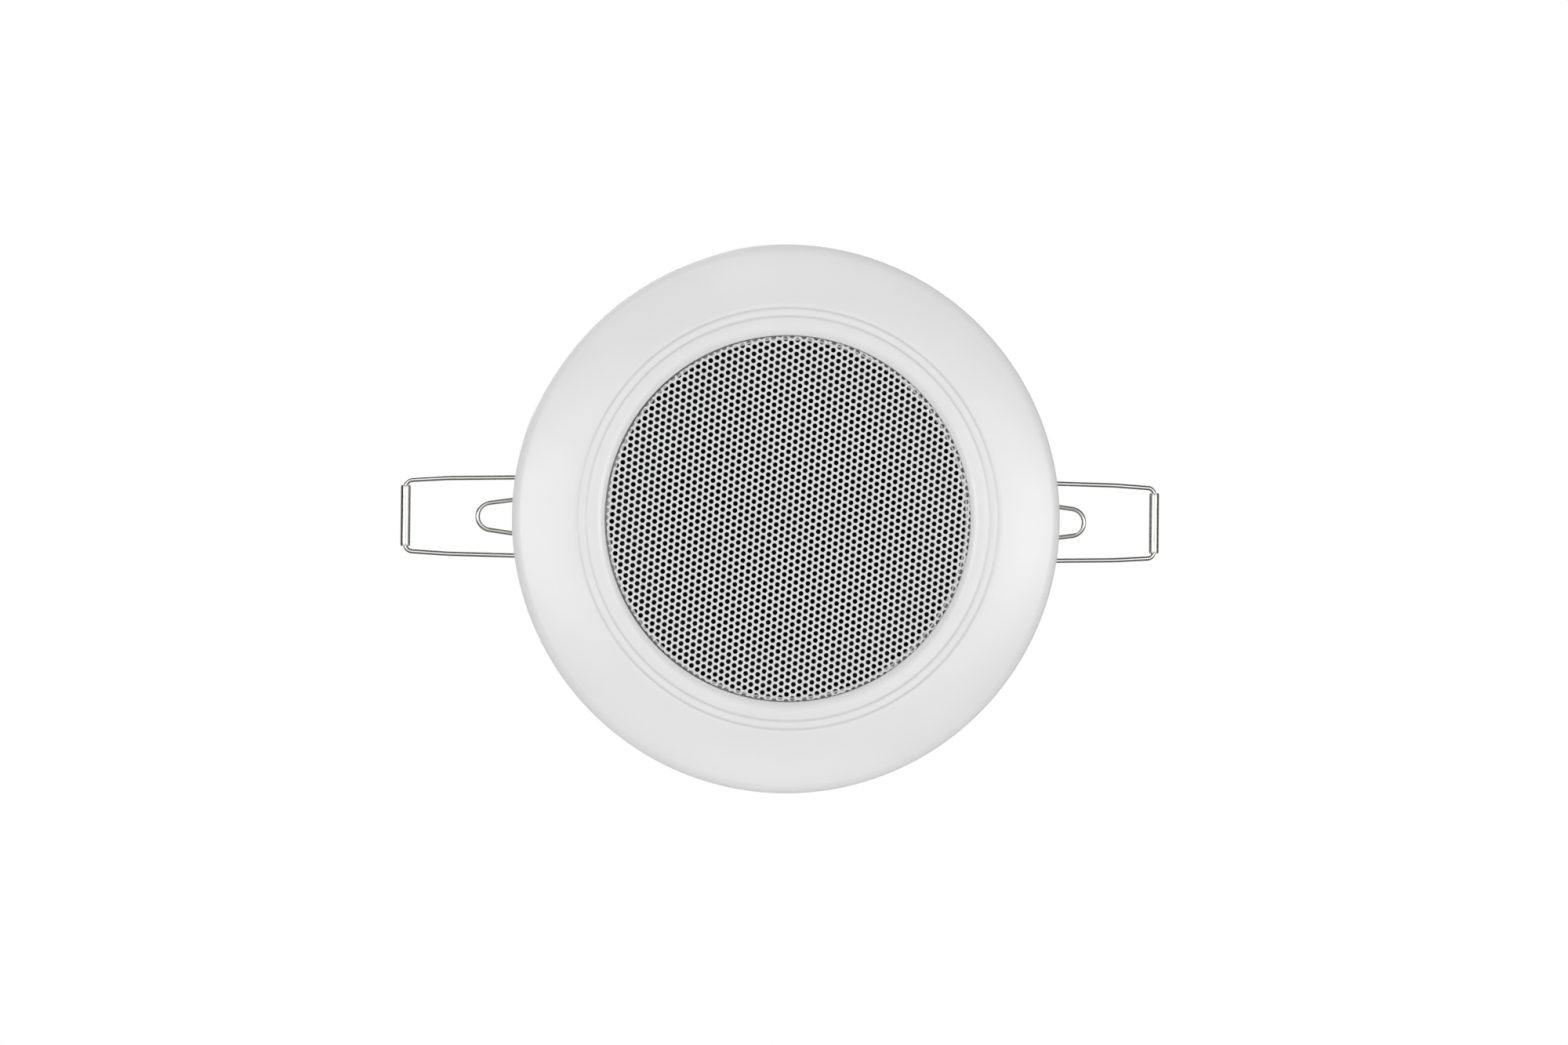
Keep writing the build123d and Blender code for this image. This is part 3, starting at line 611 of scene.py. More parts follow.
def end_tree(build, given, result, geometry):
    """Close a tree: realize its instances and set the material."""
    real = build.out("GeometryNodeRealizeInstances", {"Geometry": geometry})
    painted = build.out("GeometryNodeSetMaterial", {"Geometry": real, "Material": given["Finish"]})
    build.feed(result["Result"], painted)
    return build.tree


def grow(piece, tree, values):
    """Run a tree on a piece with named values, and keep the result as a plain mesh."""
    step = piece.modifiers.new(tree.name, "NODES")
    step.node_group = tree
    for item in tree.interface.items_tree:
        if item.in_out == "INPUT" and item.name in values:
            step[item.identifier] = values[item.name]
    return plain(piece)


def perforated_disc_tree():
    """A round sheet punched with rows of holes: cells on a triangular grid, cut to a disc."""
    labels = ("Pitch", "Hole Radius", "Disc Radius", "Thickness", "Front", "Turn", "Sideways")
    build, given, result = shape_tree("perforated_disc", dict.fromkeys(labels, "Float"))
    pitch, disc, thickness = given["Pitch"], given["Disc Radius"], given["Thickness"]
    position = build.out("GeometryNodeInputPosition")
    place = build.parts(position)

    # Centres of the cells: a grid with every second row moved by half a pitch
    row_height = build.times(pitch, sqrt(3) / 2)
    grid = {}
    for axis, step in (("X", pitch), ("Y", row_height)):
        lines = build.plus(build.times(build.math("CEIL", build.math("DIVIDE", disc, step)), 2), SPARE_ROWS)
        grid[f"Size {axis}"] = build.times(build.math("SUBTRACT", lines, 1), step)
        grid[f"Vertices {axis}"] = lines
    lattice = build.out("GeometryNodeMeshGrid", grid, "Mesh")
    row = build.math("ROUND", build.math("DIVIDE", place["Y"], row_height))
    stagger = build.times(build.math("FLOORED_MODULO", row, 2), 0.5, pitch)
    aside = build.out("ShaderNodeCombineXYZ", {"X": stagger})
    lattice = build.out("GeometryNodeSetPosition", {"Geometry": lattice, "Offset": aside})
    reach = build.vector("LENGTH", {0: position}, "Value")
    outside = build.math("GREATER_THAN", reach, build.plus(disc, pitch))
    centres = build.out("GeometryNodeDeleteGeometry", {"Geometry": lattice, "Selection": outside})

    # One cell: from the round hole out to the six-sided edge that it shares with its neighbours
    circle = build.out("GeometryNodeMeshCircle", {"Vertices": HOLE_SIDES, "Radius": given["Hole Radius"]})
    flat = {"Mesh": circle, "Offset Scale": 0.0}
    cell = build.add("GeometryNodeExtrudeMesh", flat, mode="EDGES").outputs
    bearing = build.math("ARCTAN2", place["Y"], place["X"])
    sixfold = build.math("COSINE", build.times(bearing, 6.0))
    corner, middle = build.times(pitch, 1 / sqrt(3)), build.times(pitch, 0.5)
    spread = build.times(build.plus(sixfold, 1.0), 0.5, build.math("SUBTRACT", middle, corner))
    heading = build.vector("NORMALIZE", {0: position})
    edge = build.vector("SCALE", {0: heading, "Scale": build.plus(corner, spread)})
    drawn = {"Geometry": cell["Mesh"], "Selection": cell["Top"], "Position": edge}
    cell = build.out("GeometryNodeSetPosition", drawn)
    cells = build.out("GeometryNodeInstanceOnPoints", {"Points": centres, "Instance": cell})
    cells = build.out("GeometryNodeRealizeInstances", {"Geometry": cells})

    # The sheet: welded, made thick, turned and cut round
    weld = build.times(pitch, CELL_WELD_SHARE)
    sheet = build.out("GeometryNodeMergeByDistance", {"Geometry": cells, "Distance": weld})
    raised = {"Mesh": sheet, "Offset Scale": thickness, "Individual": False}
    both = build.add("GeometryNodeJoinGeometry")
    build.feed(both.inputs[0], build.out("GeometryNodeExtrudeMesh", raised, "Mesh", mode="FACES"))
    build.feed(both.inputs[0], build.out("GeometryNodeFlipFaces", {"Mesh": sheet}))
    slab = build.out("GeometryNodeMergeByDistance", {"Geometry": both.outputs[0], "Distance": weld})
    spin = build.out("ShaderNodeCombineXYZ", {"Z": given["Turn"]})
    turned = build.out("GeometryNodeTransform", {"Geometry": slab, "Rotation": spin})
    drum = {"Vertices": DISC_SIDES, "Radius": disc, "Depth": build.times(thickness, 6.0)}
    cut = build.add("GeometryNodeMeshBoolean", {"Mesh 2": turned}, operation="INTERSECT", solver="MANIFOLD")
    build.feed(cut.inputs["Mesh 2"], build.out("GeometryNodeMeshCylinder", drum, "Mesh"))
    shift = build.out("ShaderNodeCombineXYZ", {"X": given["Sideways"], "Z": given["Front"]})
    placed = build.out("GeometryNodeTransform", {"Geometry": cut.outputs["Mesh"], "Translation": shift})
    return end_tree(build, given, result, placed)


def ring_of_tree():
    """Copies of one shape turned about the speaker's axis."""
    build, given, result = shape_tree("ring_of", {"Shape": "Object", "Count": "Int", "Begin": "Float"})
    shape = build.out("GeometryNodeObjectInfo", {"Object": given["Shape"]}, "Geometry")
    spots = build.out("GeometryNodePoints", {"Count": given["Count"]})
    step = build.math("DIVIDE", 2 * pi, given["Count"])
    angle = build.plus(build.times(build.out("GeometryNodeInputIndex"), step), given["Begin"])
    spin = build.out("ShaderNodeCombineXYZ", {"Z": angle})
    copies = {"Points": spots, "Instance": shape, "Rotation": spin}
    return end_tree(build, given, result, build.out("GeometryNodeInstanceOnPoints", copies))


def wire_tree():
    """Round wire along a path of edges."""
    build, given, result = shape_tree("wire", {"Path": "Geometry", "Radius": "Float", "Sides": "Int"})
    path = build.out("GeometryNodeMeshToCurve", {"Mesh": given["Path"]})
    level = build.out("GeometryNodeSetCurveNormal", {"Curve": path}, mode="MINIMUM_TWIST")
    circle = {"Resolution": given["Sides"], "Radius": given["Radius"]}
    section = build.out("GeometryNodeCurvePrimitiveCircle", circle, "Curve")
    tube = {"Curve": level, "Profile Curve": section, "Fill Caps": True}
    return end_tree(build, given, result, build.out("GeometryNodeCurveToMesh", tube))


def ring_of(name, shape, count, begin, slot):
    """A ring of copies of a shape, which is used up."""
    piece = from_points(name, [(0, 0, 0)], [])
    values = {"Shape": shape, "Count": count, "Begin": begin, "Finish": finish_for(slot)}
    grow(piece, kept_tree(ring_of_tree), values)
    bpy.data.objects.remove(shape)
    return smooth(piece)


def wire(name, path, radius, sides, slot):
    """Round wire along an open path of points."""
    edges = [(step, step + 1) for step in range(len(path) - 1)]
    piece = from_points(name, path, [], edges)
    values = {"Radius": radius, "Sides": sides, "Finish": finish_for(slot)}
    return smooth(clean(grow(piece, kept_tree(wire_tree), values)))


def shader_group(name, *numbers, **others):
    """A new shader group with a Vector, named inputs, a Mask and a Height."""
    inputs = {"Vector": "Vector", **dict.fromkeys(numbers, "Float"), **others}
    return new_tree(name, "ShaderNodeTree", inputs, {"Mask": "Float", "Height": "Float"})


def end_group(build, result, mask, height):
    """Close a shader group with its mask and its height."""
    build.feed(result["Mask"], mask)
    build.feed(result["Height"], height)
    return build.tree


def grain_group():
    """Fine even grain, with broad clouds as its mask."""
    build, given, result = shader_group("grain", "Scale", "Clouds")
    grain = build.noise(given["Vector"], given["Scale"], 3.0)
    clouds = build.noise(given["Vector"], given["Clouds"], 2.0)
    return end_group(build, result, build.ramp(clouds, 0.3, 0.7), grain)


def streaks_group():
    """Drawn lines: noise stretched by a vector."""
    build, given, result = shader_group("streaks", "Scale", Stretch="Vector")
    drawn = build.vector("MULTIPLY", {0: given["Vector"], 1: given["Stretch"]})
    lines = build.noise(drawn, given["Scale"], 4.0)
    return end_group(build, result, build.ramp(lines, 0.38, 0.66), lines)


def patches(build, given):
    """Cells of random size: a random number for each, and the distance from its middle."""
    cell = build.add("ShaderNodeTexVoronoi", {"Vector": given["Vector"], "Scale": given["Scale"]}).outputs
    return build.out("ShaderNodeSeparateColor", {0: cell["Color"]}), cell["Distance"]


def specks_group():
    """Scattered specks in a few of many cells."""
    build, given, result = shader_group("specks", "Scale", "Size", "Rareness")
    random, away = patches(build, given)
    spot = build.math("SUBTRACT", 1.0, build.ramp(away, 0.0, given["Size"]))
    specks = build.times(spot, build.math("GREATER_THAN", random, given["Rareness"]))
    return end_group(build, result, specks, specks)


def cells_group():
    """Grey patches that meet in sharp lines, hollow in the middle."""
    build, given, result = shader_group("cells", "Scale")
    return end_group(build, result, *patches(build, given))


def reach_of(build, place):
    """Distance of a separated place from the speaker's axis."""
    flat = build.out("ShaderNodeCombineXYZ", {"X": place["X"], "Y": place["Y"]})
    return build.vector("LENGTH", {0: flat}, "Value")


def rings_group():
    """Turned or ground rings about the speaker's axis."""
    build, given, result = shader_group("rings", "Scale")
    inputs = {"W": reach_of(build, build.parts(given["Vector"])), "Scale": given["Scale"], "Detail": 3.0}
    line = build.out("ShaderNodeTexNoise", inputs, noise_dimensions="1D")
    return end_group(build, result, build.ramp(line, 0.35, 0.65), line)


def lines_group():
    """Painted shade in two turned lines about the speaker's axis, on its front: a darker colour in the ring
    grooves.
    """
    build, given, result = shader_group("lines", "First", "Second", "Width", "Front")
    place = build.parts(given["Vector"])
    reach = reach_of(build, place)
    marks = []
    for label in ("First", "Second"):
        away = build.math("ABSOLUTE", build.math("SUBTRACT", reach, given[label]))
        marks.append(build.ramp(away, given["Width"], 0.0))
    before = build.math("LESS_THAN", place["Z"], given["Front"])
    # The mask named dust is painted shade in the ring grooves
    dust = build.times(build.math("MAXIMUM", *marks), before)
    return end_group(build, result, dust, dust)


def fibres_group():
    """Pressed fibres that cross in two directions."""
    build, given, result = shader_group("fibres", "Scale")
    runs = []
    for angle in (0.5, -0.9):
        drawn = {"Vector": given["Vector"], "Rotation": (0.3, 0.2, angle), "Scale": (1.0, 0.12, 0.5)}
        fibres = build.noise(build.out("ShaderNodeMapping", drawn), given["Scale"], 3.0)
        runs.append(build.ramp(fibres, 0.42, 0.62))
    return end_group(build, result, build.times(*runs), build.math("MAXIMUM", *runs))


def weave_group():
    """Plain weave: threads that pass over and under each other."""
    build, given, result = shader_group("weave", "Pitch")
    place = build.parts(given["Vector"])
    waves = []
    for axis in ("X", "Y"):
        turns = build.math("DIVIDE", place[axis], given["Pitch"])
        waves.append(build.math("SINE", build.times(turns, pi)))
    over = build.plus(build.times(*waves, 0.5), 0.5)
    thick = build.math("MAXIMUM", *[build.math("ABSOLUTE", wave) for wave in waves])
    return end_group(build, result, build.ramp(thick, 0.95, 0.35), over)


def bands_group():
    """Close turns of wire, stacked along one direction, with painted shade in the crevices between turns."""
    build, given, result = shader_group("bands", "Pitch", Stretch="Vector")
    along = build.vector("DOT_PRODUCT", {0: given["Vector"], 1: given["Stretch"]}, "Value")
    turns = build.times(build.math("DIVIDE", along, given["Pitch"]), pi)
    crest = build.math("ABSOLUTE", build.math("SINE", turns))
    # The mask is painted shade, darker between the turns; the height is the turns' relief
    return end_group(build, result, build.ramp(crest, 0.55, 0.0), crest)


def ring_dust():
    """Where painted shade darkens the bezel's two ring lines."""
    bezel = bpy.context.scene.speaker_bezel
    return {
        "First": bezel.opening_radius + bezel.outer_line_step,
        "Second": bezel.opening_radius + bezel.inner_line_step,
        "Width": bezel.line_width,
        "Front": bezel.front + bezel.wall / 2,
    }


METAL = {"Metallic": 1.0}
MATT = {"Specular IOR Level": 0.12}
SATIN = {"IOR": 1.5, "Specular IOR Level": 0.7, "Coat Weight": 1.0, "Coat Roughness": 0.32}

# A finish begins with its colour, a factor on it, roughness, strength and depth of the relief, shader values.
# Each layer on it: effect, its values, its tint as a factor or a colour, shares of colour, roughness, height.
FINISHES = {
    # Satin moulded plastic with a fine spark grain, and painted shade in its two ring lines
    "white_plastic": (
        ("plastic", 1.0, 0.36, 0.16, 0.02 * MM, SATIN),
        (grain_group, {"Scale": 5200.0, "Clouds": 45.0}, 0.965, 1.0, 0.07, 1.0),
        (specks_group, {"Scale": 420.0, "Size": 0.10, "Rareness": 0.93}, 0.86, 0.5, 0.05, 0.0),
        (lines_group, ring_dust, 0.84, 1.0, 0.0, 0.0),
    ),
    # Powder coat with a soft orange peel
    "white_paint": (
        ("paint", 1.0, 0.48, 0.3, 0.03 * MM, {"IOR": 1.5}),
        (grain_group, {"Scale": 2600.0, "Clouds": 70.0}, 0.95, 1.0, 0.08, 1.0),
        (grain_group, {"Scale": 9000.0, "Clouds": 300.0}, 0.97, 0.6, 0.04, 0.35),
    ),
    # Bright nickel on drawn wire: fine lines along the arms
    "nickel_wire": (
        ("nickel", 1.0, 0.13, 0.04, 0.02 * MM, METAL),
        (streaks_group, {"Scale": 1800.0, "Stretch": (0.03, 1.0, 1.0)}, 0.80, 0.4, 0.05, 1.0),
        (grain_group, {"Scale": 3000.0, "Clouds": 420.0}, 0.88, 0.5, 0.05, 0.0),
    ),
    # Nickel-plated sheet and fasteners, a little softer than the wire
    "nickel_steel": (
        ("nickel", 0.90, 0.30, 0.04, 0.02 * MM, METAL),
        (streaks_group, {"Scale": 3600.0, "Stretch": (1.0, 0.05, 1.0)}, 0.82, 0.55, 0.12, 1.0),
        (specks_group, {"Scale": 2200.0, "Size": 0.3, "Rareness": 0.8}, 0.55, 0.35, 0.1, -0.5),
    ),
    # Zinc-plated stamped steel with faint spangle and press lines
    "zinc_steel": (
        ("zinc", 1.0, 0.34, 0.18, 0.02 * MM, METAL),
        (cells_group, {"Scale": 520.0}, 0.86, 0.5, 0.08, 0.0),
        (streaks_group, {"Scale": 1500.0, "Stretch": (1.0, 0.06, 0.3)}, 1.10, 0.4, 0.08, 1.0),
        (grain_group, {"Scale": 4200.0, "Clouds": 60.0}, 0.82, 0.35, 0.1, 0.6),
    ),
    # Pressed black paper with visible fibres
    "black_paper": (
        ("paper", 1.0, 0.82, 0.5, 0.06 * MM, MATT),
        (fibres_group, {"Scale": 2600.0}, 2.4, 0.5, -0.08, 1.0),
        (grain_group, {"Scale": 3800.0, "Clouds": 120.0}, 0.6, 0.6, 0.08, 0.6),
    ),
    # Moulded black rubber with a little bloom
    "black_rubber": (
        ("rubber", 1.0, 0.52, 0.25, 0.03 * MM, {"Specular IOR Level": 0.2}),
        (grain_group, {"Scale": 4600.0, "Clouds": 160.0}, 1.9, 0.55, 0.14, 1.0),
        (rings_group, {"Scale": 1800.0}, 0.7, 0.4, 0.05, 0.4),
    ),
    # Closed-cell foam tape
    "black_foam": (
        ("rubber", 1.2, 0.92, 0.7, 0.08 * MM, MATT),
        (cells_group, {"Scale": 4200.0}, 1.8, 0.5, 0.06, 1.0),
        (grain_group, {"Scale": 1500.0, "Clouds": 200.0}, 0.6, 0.5, 0.0, 0.5),
    ),
    # Ground ferrite: dark, with rings from the wheel and small chips
    "ferrite": (
        ("ferrite", 1.0, 0.55, 0.3, 0.04 * MM, {}),
        (rings_group, {"Scale": 2400.0}, 1.5, 0.5, 0.12, 0.6),
        (grain_group, {"Scale": 5200.0, "Clouds": 140.0}, 0.65, 0.7, 0.1, 1.0),
        (specks_group, {"Scale": 1100.0, "Size": 0.24, "Rareness": 0.86}, 2.6, 0.5, -0.15, -0.8),
    ),
    # Resin-treated woven cloth
    "amber_cloth": (
        ("cloth", 1.0, 0.66, 0.6, 0.08 * MM, {}),
        (weave_group, {"Pitch": 0.42 * MM}, 0.45, 0.85, 0.12, 1.0),
        (grain_group, {"Scale": 5200.0, "Clouds": 260.0}, 1.25, 0.5, 0.1, 0.35),
    ),
    # Varnished copper wire in close turns, with painted shade between the turns
    "copper_wire": (
        ("copper", 1.0, 0.26, 0.7, 0.1 * MM, METAL),
        (bands_group, {"Pitch": 0.27 * MM, "Stretch": (0.0, 0.0, 1.0)}, 0.35, 0.9, 0.1, 1.0),
        (grain_group, {"Scale": 2600.0, "Clouds": 420.0}, 0.8, 0.5, 0.1, 0.0),
    ),
    # Tinsel lead: fine copper strands laid at a slant, with painted shade between the strands
    "copper_braid": (
        ("copper", 0.95, 0.36, 0.7, 0.08 * MM, METAL),
        (bands_group, {"Pitch": 0.24 * MM, "Stretch": (0.6, 0.75, 0.3)}, 0.4, 0.85, 0.12, 1.0),
        (grain_group, {"Scale": 5200.0, "Clouds": 600.0}, 1.2, 0.4, 0.1, 0.3),
    ),
    # Laminated fibre board
    "brown_fibre": (
        ("fibre", 1.0, 0.55, 0.35, 0.04 * MM, {}),
        (fibres_group, {"Scale": 3000.0}, 1.6, 0.6, 0.08, 1.0),
        (grain_group, {"Scale": 3600.0, "Clouds": 220.0}, 0.7, 0.6, 0.08, 0.5),
    ),
    # Tin over stamped brass, yellower in patches
    "tinned_brass": (
        ("tin", 1.0, 0.28, 0.2, 0.02 * MM, METAL),
        (grain_group, {"Scale": 3600.0, "Clouds": 700.0}, (0.70, 0.55, 0.30), 0.5, 0.12, 0.5),
        (streaks_group, {"Scale": 3800.0, "Stretch": (1.0, 1.0, 0.06)}, 0.8, 0.45, 0.1, 1.0),
    ),
    # Rolled aluminium sheet
    "thin_aluminium": (
        ("aluminium", 1.0, 0.3, 0.15, 0.02 * MM, METAL),
        (streaks_group, {"Scale": 4200.0, "Stretch": (0.2, 0.2, 1.0)}, 0.85, 0.5, 0.12, 1.0),
        (grain_group, {"Scale": 3200.0, "Clouds": 380.0}, 0.9, 0.5, 0.08, 0.0),
    ),
}


def shade(tone, factor):
    """A colour made darker or lighter."""
    return tuple(min(1.0, part * factor) for part in tone)


def new_finish(name, slot):
    """A material: one base colour with layers of surface effects on a Principled shader."""
    (colour_name, factor, rough, relief, depth, sockets), *layers = FINISHES[slot]
    finish = bpy.data.materials.new(name)
    finish.use_nodes = True
    build = NodeTree(finish.node_tree)
    shader = finish.node_tree.nodes["Principled BSDF"]
    for label, value in sockets.items():
        shader.inputs[label].default_value = value
    vector = build.out("ShaderNodeTexCoord", socket="Object")
    tone = shade(getattr(bpy.context.scene.speaker_finishes, colour_name), factor)
    painted, raised = (*tone, 1.0), 0.0
    for effect, values, tint, colour_share, rough_share, height_share in layers:
        node = build.add("ShaderNodeGroup", node_tree=kept_tree(effect))
        build.feed(node.inputs["Vector"], vector)
        for label, value in (values() if callable(values) else values).items():
            node.inputs[label].default_value = value
        mask = node.outputs["Mask"]
        tint = tint if isinstance(tint, tuple) else shade(tone, tint)
        mix = {0: build.times(mask, colour_share), 6: painted, 7: (*tint, 1.0)}
        painted = build.out("ShaderNodeMix", mix, 2, data_type="RGBA")
        if rough_share:
            rough = build.plus(rough, build.times(build.math("SUBTRACT", mask, 0.5), rough_share))
        if height_share:
            raised = build.plus(raised, build.times(node.outputs["Height"], height_share))
    build.feed(shader.inputs["Base Color"], painted)
    build.feed(shader.inputs["Roughness"], rough)
    bump = build.out("ShaderNodeBump", {"Strength": relief, "Distance": depth, "Height": raised})
    build.feed(shader.inputs["Normal"], bump)
    return finish


def finish_for(slot):
    """The finish of a slot, built on its first use."""
    name = f"{slot}_surface"
    return bpy.data.materials.get(name) or new_finish(name, slot)


def groove(radius, front, width, depth):
    """Points of a soft groove in a face, from its outer to its inner edge."""
    points = []
    for share in shares(GROOVE_STEPS):
        across = 2 * share - 1
        points.append((radius - across * width / 2, front + depth * (0.5 + 0.5 * cos(pi * across))))
    return points


def bezel_outline(size):
    """Half section of the turned shell."""
    rim, front, opening = size.outer_radius, size.front, size.opening_radius
    crease = (rim - size.edge_width, -size.rim_height - size.edge_drop)
    inner_crease = (crease[0] - size.rim_height, crease[1] + size.wall - size.rim_height / 4)
    ledge, floor = high("grille").z, front + size.wall
    groove_floor, seat = ledge + size.gap_depth, ledge + size.ledge_thickness
    aperture = opening - size.ledge_width
    points = [(rim - size.rim_width, 0), (rim, 0), (rim, -size.rim_height)]
    points += tangent_arc(points[-1], (0, -1), crease, RIM_STEPS)
    points += bowed(crease, (opening + size.ring_step, front), size.bulge, FACE_STEPS)
    for step in (size.outer_line_step, size.inner_line_step):
        points += groove(opening + step, front, size.line_width, size.line_depth)
    points.append((opening + size.lip_width, front))
    points += tangent_arc(points[-1], (-1, 0), (opening, front + size.lip_depth), LIP_STEPS)
    points += [
        (opening, groove_floor),
        (opening - size.gap_width, groove_floor),
        (opening - size.gap_width, ledge),
        (aperture, ledge),
        (aperture, seat),
        (aperture + size.seat_width, seat),
        (aperture + size.seat_width, floor),
        (size.collar_radius, floor),
    ]
    points += bowed(points[-1], inner_crease, -size.bulge, FLOOR_STEPS)
    return eased(points, size.soft_edge)


def double_d(radius, flat, height):
    """A loop of points: a circle with a flat on each clip side."""
    corner = acos(flat / radius)
    half = radius * sin(corner)
    points = []
    for begin, sign in ((0, 1), (pi, -1)):
        for share in shares(COLLAR_FLAT_STEPS)[:-1]:
            points.append((sign * flat, sign * (2 * half * share - half), height))
        for share in shares(COLLAR_ARC_STEPS)[:-1]:
            angle = begin + corner + (pi - 2 * corner) * share
            points.append((radius * cos(angle), radius * sin(angle), height))
    return points


def make_bezel(size):
    """Shell, collar, ribs and screw bosses of the white moulding."""
    shell = lathe("bezel_shell", bezel_outline(size), size.segments)
    edge, wall, top = size.soft_edge, size.collar_wall, size.collar_top
    floor = size.front + size.wall
    root = floor - size.wall / 4
    outer, flat = size.collar_radius, size.collar_flat
    half_section = [(0, root), (0, top - edge), (edge / 3, top - edge / 3), (edge, top)]
    section = half_section + [(wall - inset, height) for inset, height in reversed(half_section)]
    loops = [double_d(outer - inset, flat - inset, height) for inset, height in section]
    points = [point for loop in loops for point in loop]
    faces = walls(len(loops), len(loops[0]), True)
    collar = smooth(clean(from_points("bezel_collar", points, faces)))
    rib_end = size.outer_radius - size.edge_width - size.rim_height
    rib_outline = [
        (outer - wall / 2, floor - size.wall / 2),
        (rib_end, size.wall / 2 - size.rim_height - size.edge_drop),
        (size.outer_radius - size.rim_width, -size.rib_recess),
        (outer - wall / 2, -size.rib_recess),
    ]
    rib = prism("bezel_rib", rib_outline, Matrix.Rotation(pi / 2, 4, "X"), size.rib_thickness, edge)
    ribs = ring_of("bezel_ribs", rib, size.rib_count, pi / size.rib_count, "white_plastic")
    boss_top, radius = high("driver_gasket").z, size.boss_radius
    outline = [(0, root), (radius, root), (radius, boss_top - edge), (radius - edge, boss_top), (0, boss_top)]
    screw_ring = bpy.context.scene.speaker_driver.screw_ring
    boss = lathe("bezel_boss", outline, BOSS_SIDES, centre=(screw_ring, 0))
    inside = size.opening_radius + edge
    for vertex in boss.data.vertices:
        reach = vertex.co.xy.length
        if vertex.co.z < high("grille").z and reach < inside:
            vertex.co.xy *= inside / reach
    bosses = ring_of("bezel_bosses", boss, SCREW_COUNT, pi / 4, "white_plastic")
    for piece in (shell, collar, ribs, bosses):
        settle(piece, "white_plastic", SPEAKER, "bezel")


def make_grille(size):
    """Punched steel disc in the bezel's recess."""
    piece = from_points("grille_sheet", [(0, 0, 0)], [])
    values = {
        "Pitch": size.pitch,
        "Hole Radius": size.hole_radius,
        "Disc Radius": size.radius,
        "Thickness": size.thickness,
        "Front": size.front,
        "Turn": size.hole_turn,
        "Sideways": size.sideways,
        "Finish": finish_for("white_paint"),
    }
    grow(piece, kept_tree(perforated_disc_tree), values)
    settle(smooth(clean(piece), GRILLE_SMOOTH_ANGLE), "white_paint", SPEAKER, "grille")


def soft_ring(node, line, sheet, slot, sectors):
    """A flexible ring between speaker and diaphragm, made in sectors."""
    sweep = 2 * pi / sectors
    outline = ribbon(line, sheet)
    for number in range(sectors):
        name = f"{node}_{number:02d}"
        piece = lathe(name, outline, SECTOR_STEPS, begin=number * sweep, sweep=sweep)
        settle_across(piece, slot, node)


def make_diaphragm(size):
    """Surround, cone, dust cap, spider and voice coil."""
    rubber = size.surround_sheet
    middle = size.land - rubber / 2
    outer, inner = size.surround_radius - size.surround_land, size.cone_radius
    line = [(size.surround_radius, middle)]
    for share in shares(ROLL_STEPS):
        reach = (outer + inner) / 2 + (outer - inner) / 2 * cos(pi * share)
        line.append((reach, middle - size.roll_height * sin(pi * share)))
    line.append((size.surround_inner, middle))
    ends = (outer - ROLL_MARGINS[0], inner + ROLL_MARGINS[1])
    soft_ring("surround", line, rubber, "black_rubber", size.sectors)

    lip, neck = size.land + size.cone_sheet / 2, size.neck_radius
    line = [(inner, lip), (size.surround_inner, lip), (neck + size.cone_sheet / 2, size.neck)]
    line = eased(line, CONE_EASE, closed=False)
    cone = lathe("cone_paper", ribbon(line, size.cone_sheet), CONE_SIDES)
    settle(cone, "black_paper", DIAPHRAGM, "cone")

    sheet = size.cone_sheet * CAP_SHEET_SHARE
    rise = size.cap_rear - size.cap_front - sheet
    ball = (size.cap_radius**2 + rise**2) / (2 * rise)
    line = []
    for share in shares(ROLL_STEPS):
        reach = (size.cap_radius - sheet / 2) * (1 - share)
        line.append((reach, size.cap_front + sheet / 2 + ball - sqrt(ball**2 - reach**2)))
    outline = [(reach if reach > sheet else 0.0, z) for reach, z in ribbon(line, sheet)]
    settle(lathe("dust_cap_paper", outline, CAP_SIDES), "black_paper", DIAPHRAGM, "dust_cap")

    flat = size.spider_front + rubber / 2
    ends = (size.spider_flat, neck + SPIDER_MARGIN)
    line = [(size.spider_radius, flat)]
    for share in shares(WAVE_STEPS * size.spider_waves):
        lift = 0.5 - 0.5 * cos(2 * pi * size.spider_waves * share)
        line.append((ends[0] + (ends[1] - ends[0]) * share, flat + size.spider_wave * lift))
    line.append((neck, flat))
    soft_ring("spider", line, rubber, "amber_cloth", size.sectors)

    for node, slot in (("voice_coil_former", "thin_aluminium"), ("voice_coil_winding", "copper_wire")):
        settle(softened(node, size.soft_edge / 3), slot, DIAPHRAGM, node)


def make_driver_frame(size):
    """Stamped basket and its gasket."""
    settle(softened("driver_frame", size.soft_edge), "zinc_steel", SPEAKER, "driver_frame")
    settle(softened("driver_gasket", size.soft_edge), "black_foam", SPEAKER, "driver_gasket")
    front, rear = low("driver_gasket").z, high("driver_gasket").z
    inner, outer = size.surround_radius + size.swell_gap, high("driver_gasket").x - size.swell
    bulge = (rear - front) * SWELL_SHARE
    outline = [(outer, rear), (outer, front)]
    for share in shares(SWELL_STEPS):
        reach = inner + bulge - bulge * sin(pi * share)
        outline.append((reach, (front + rear) / 2 - bulge * cos(pi * share)))
    settle(lathe("gasket_swell", outline, CONE_SIDES), "black_foam", SPEAKER, "driver_gasket")


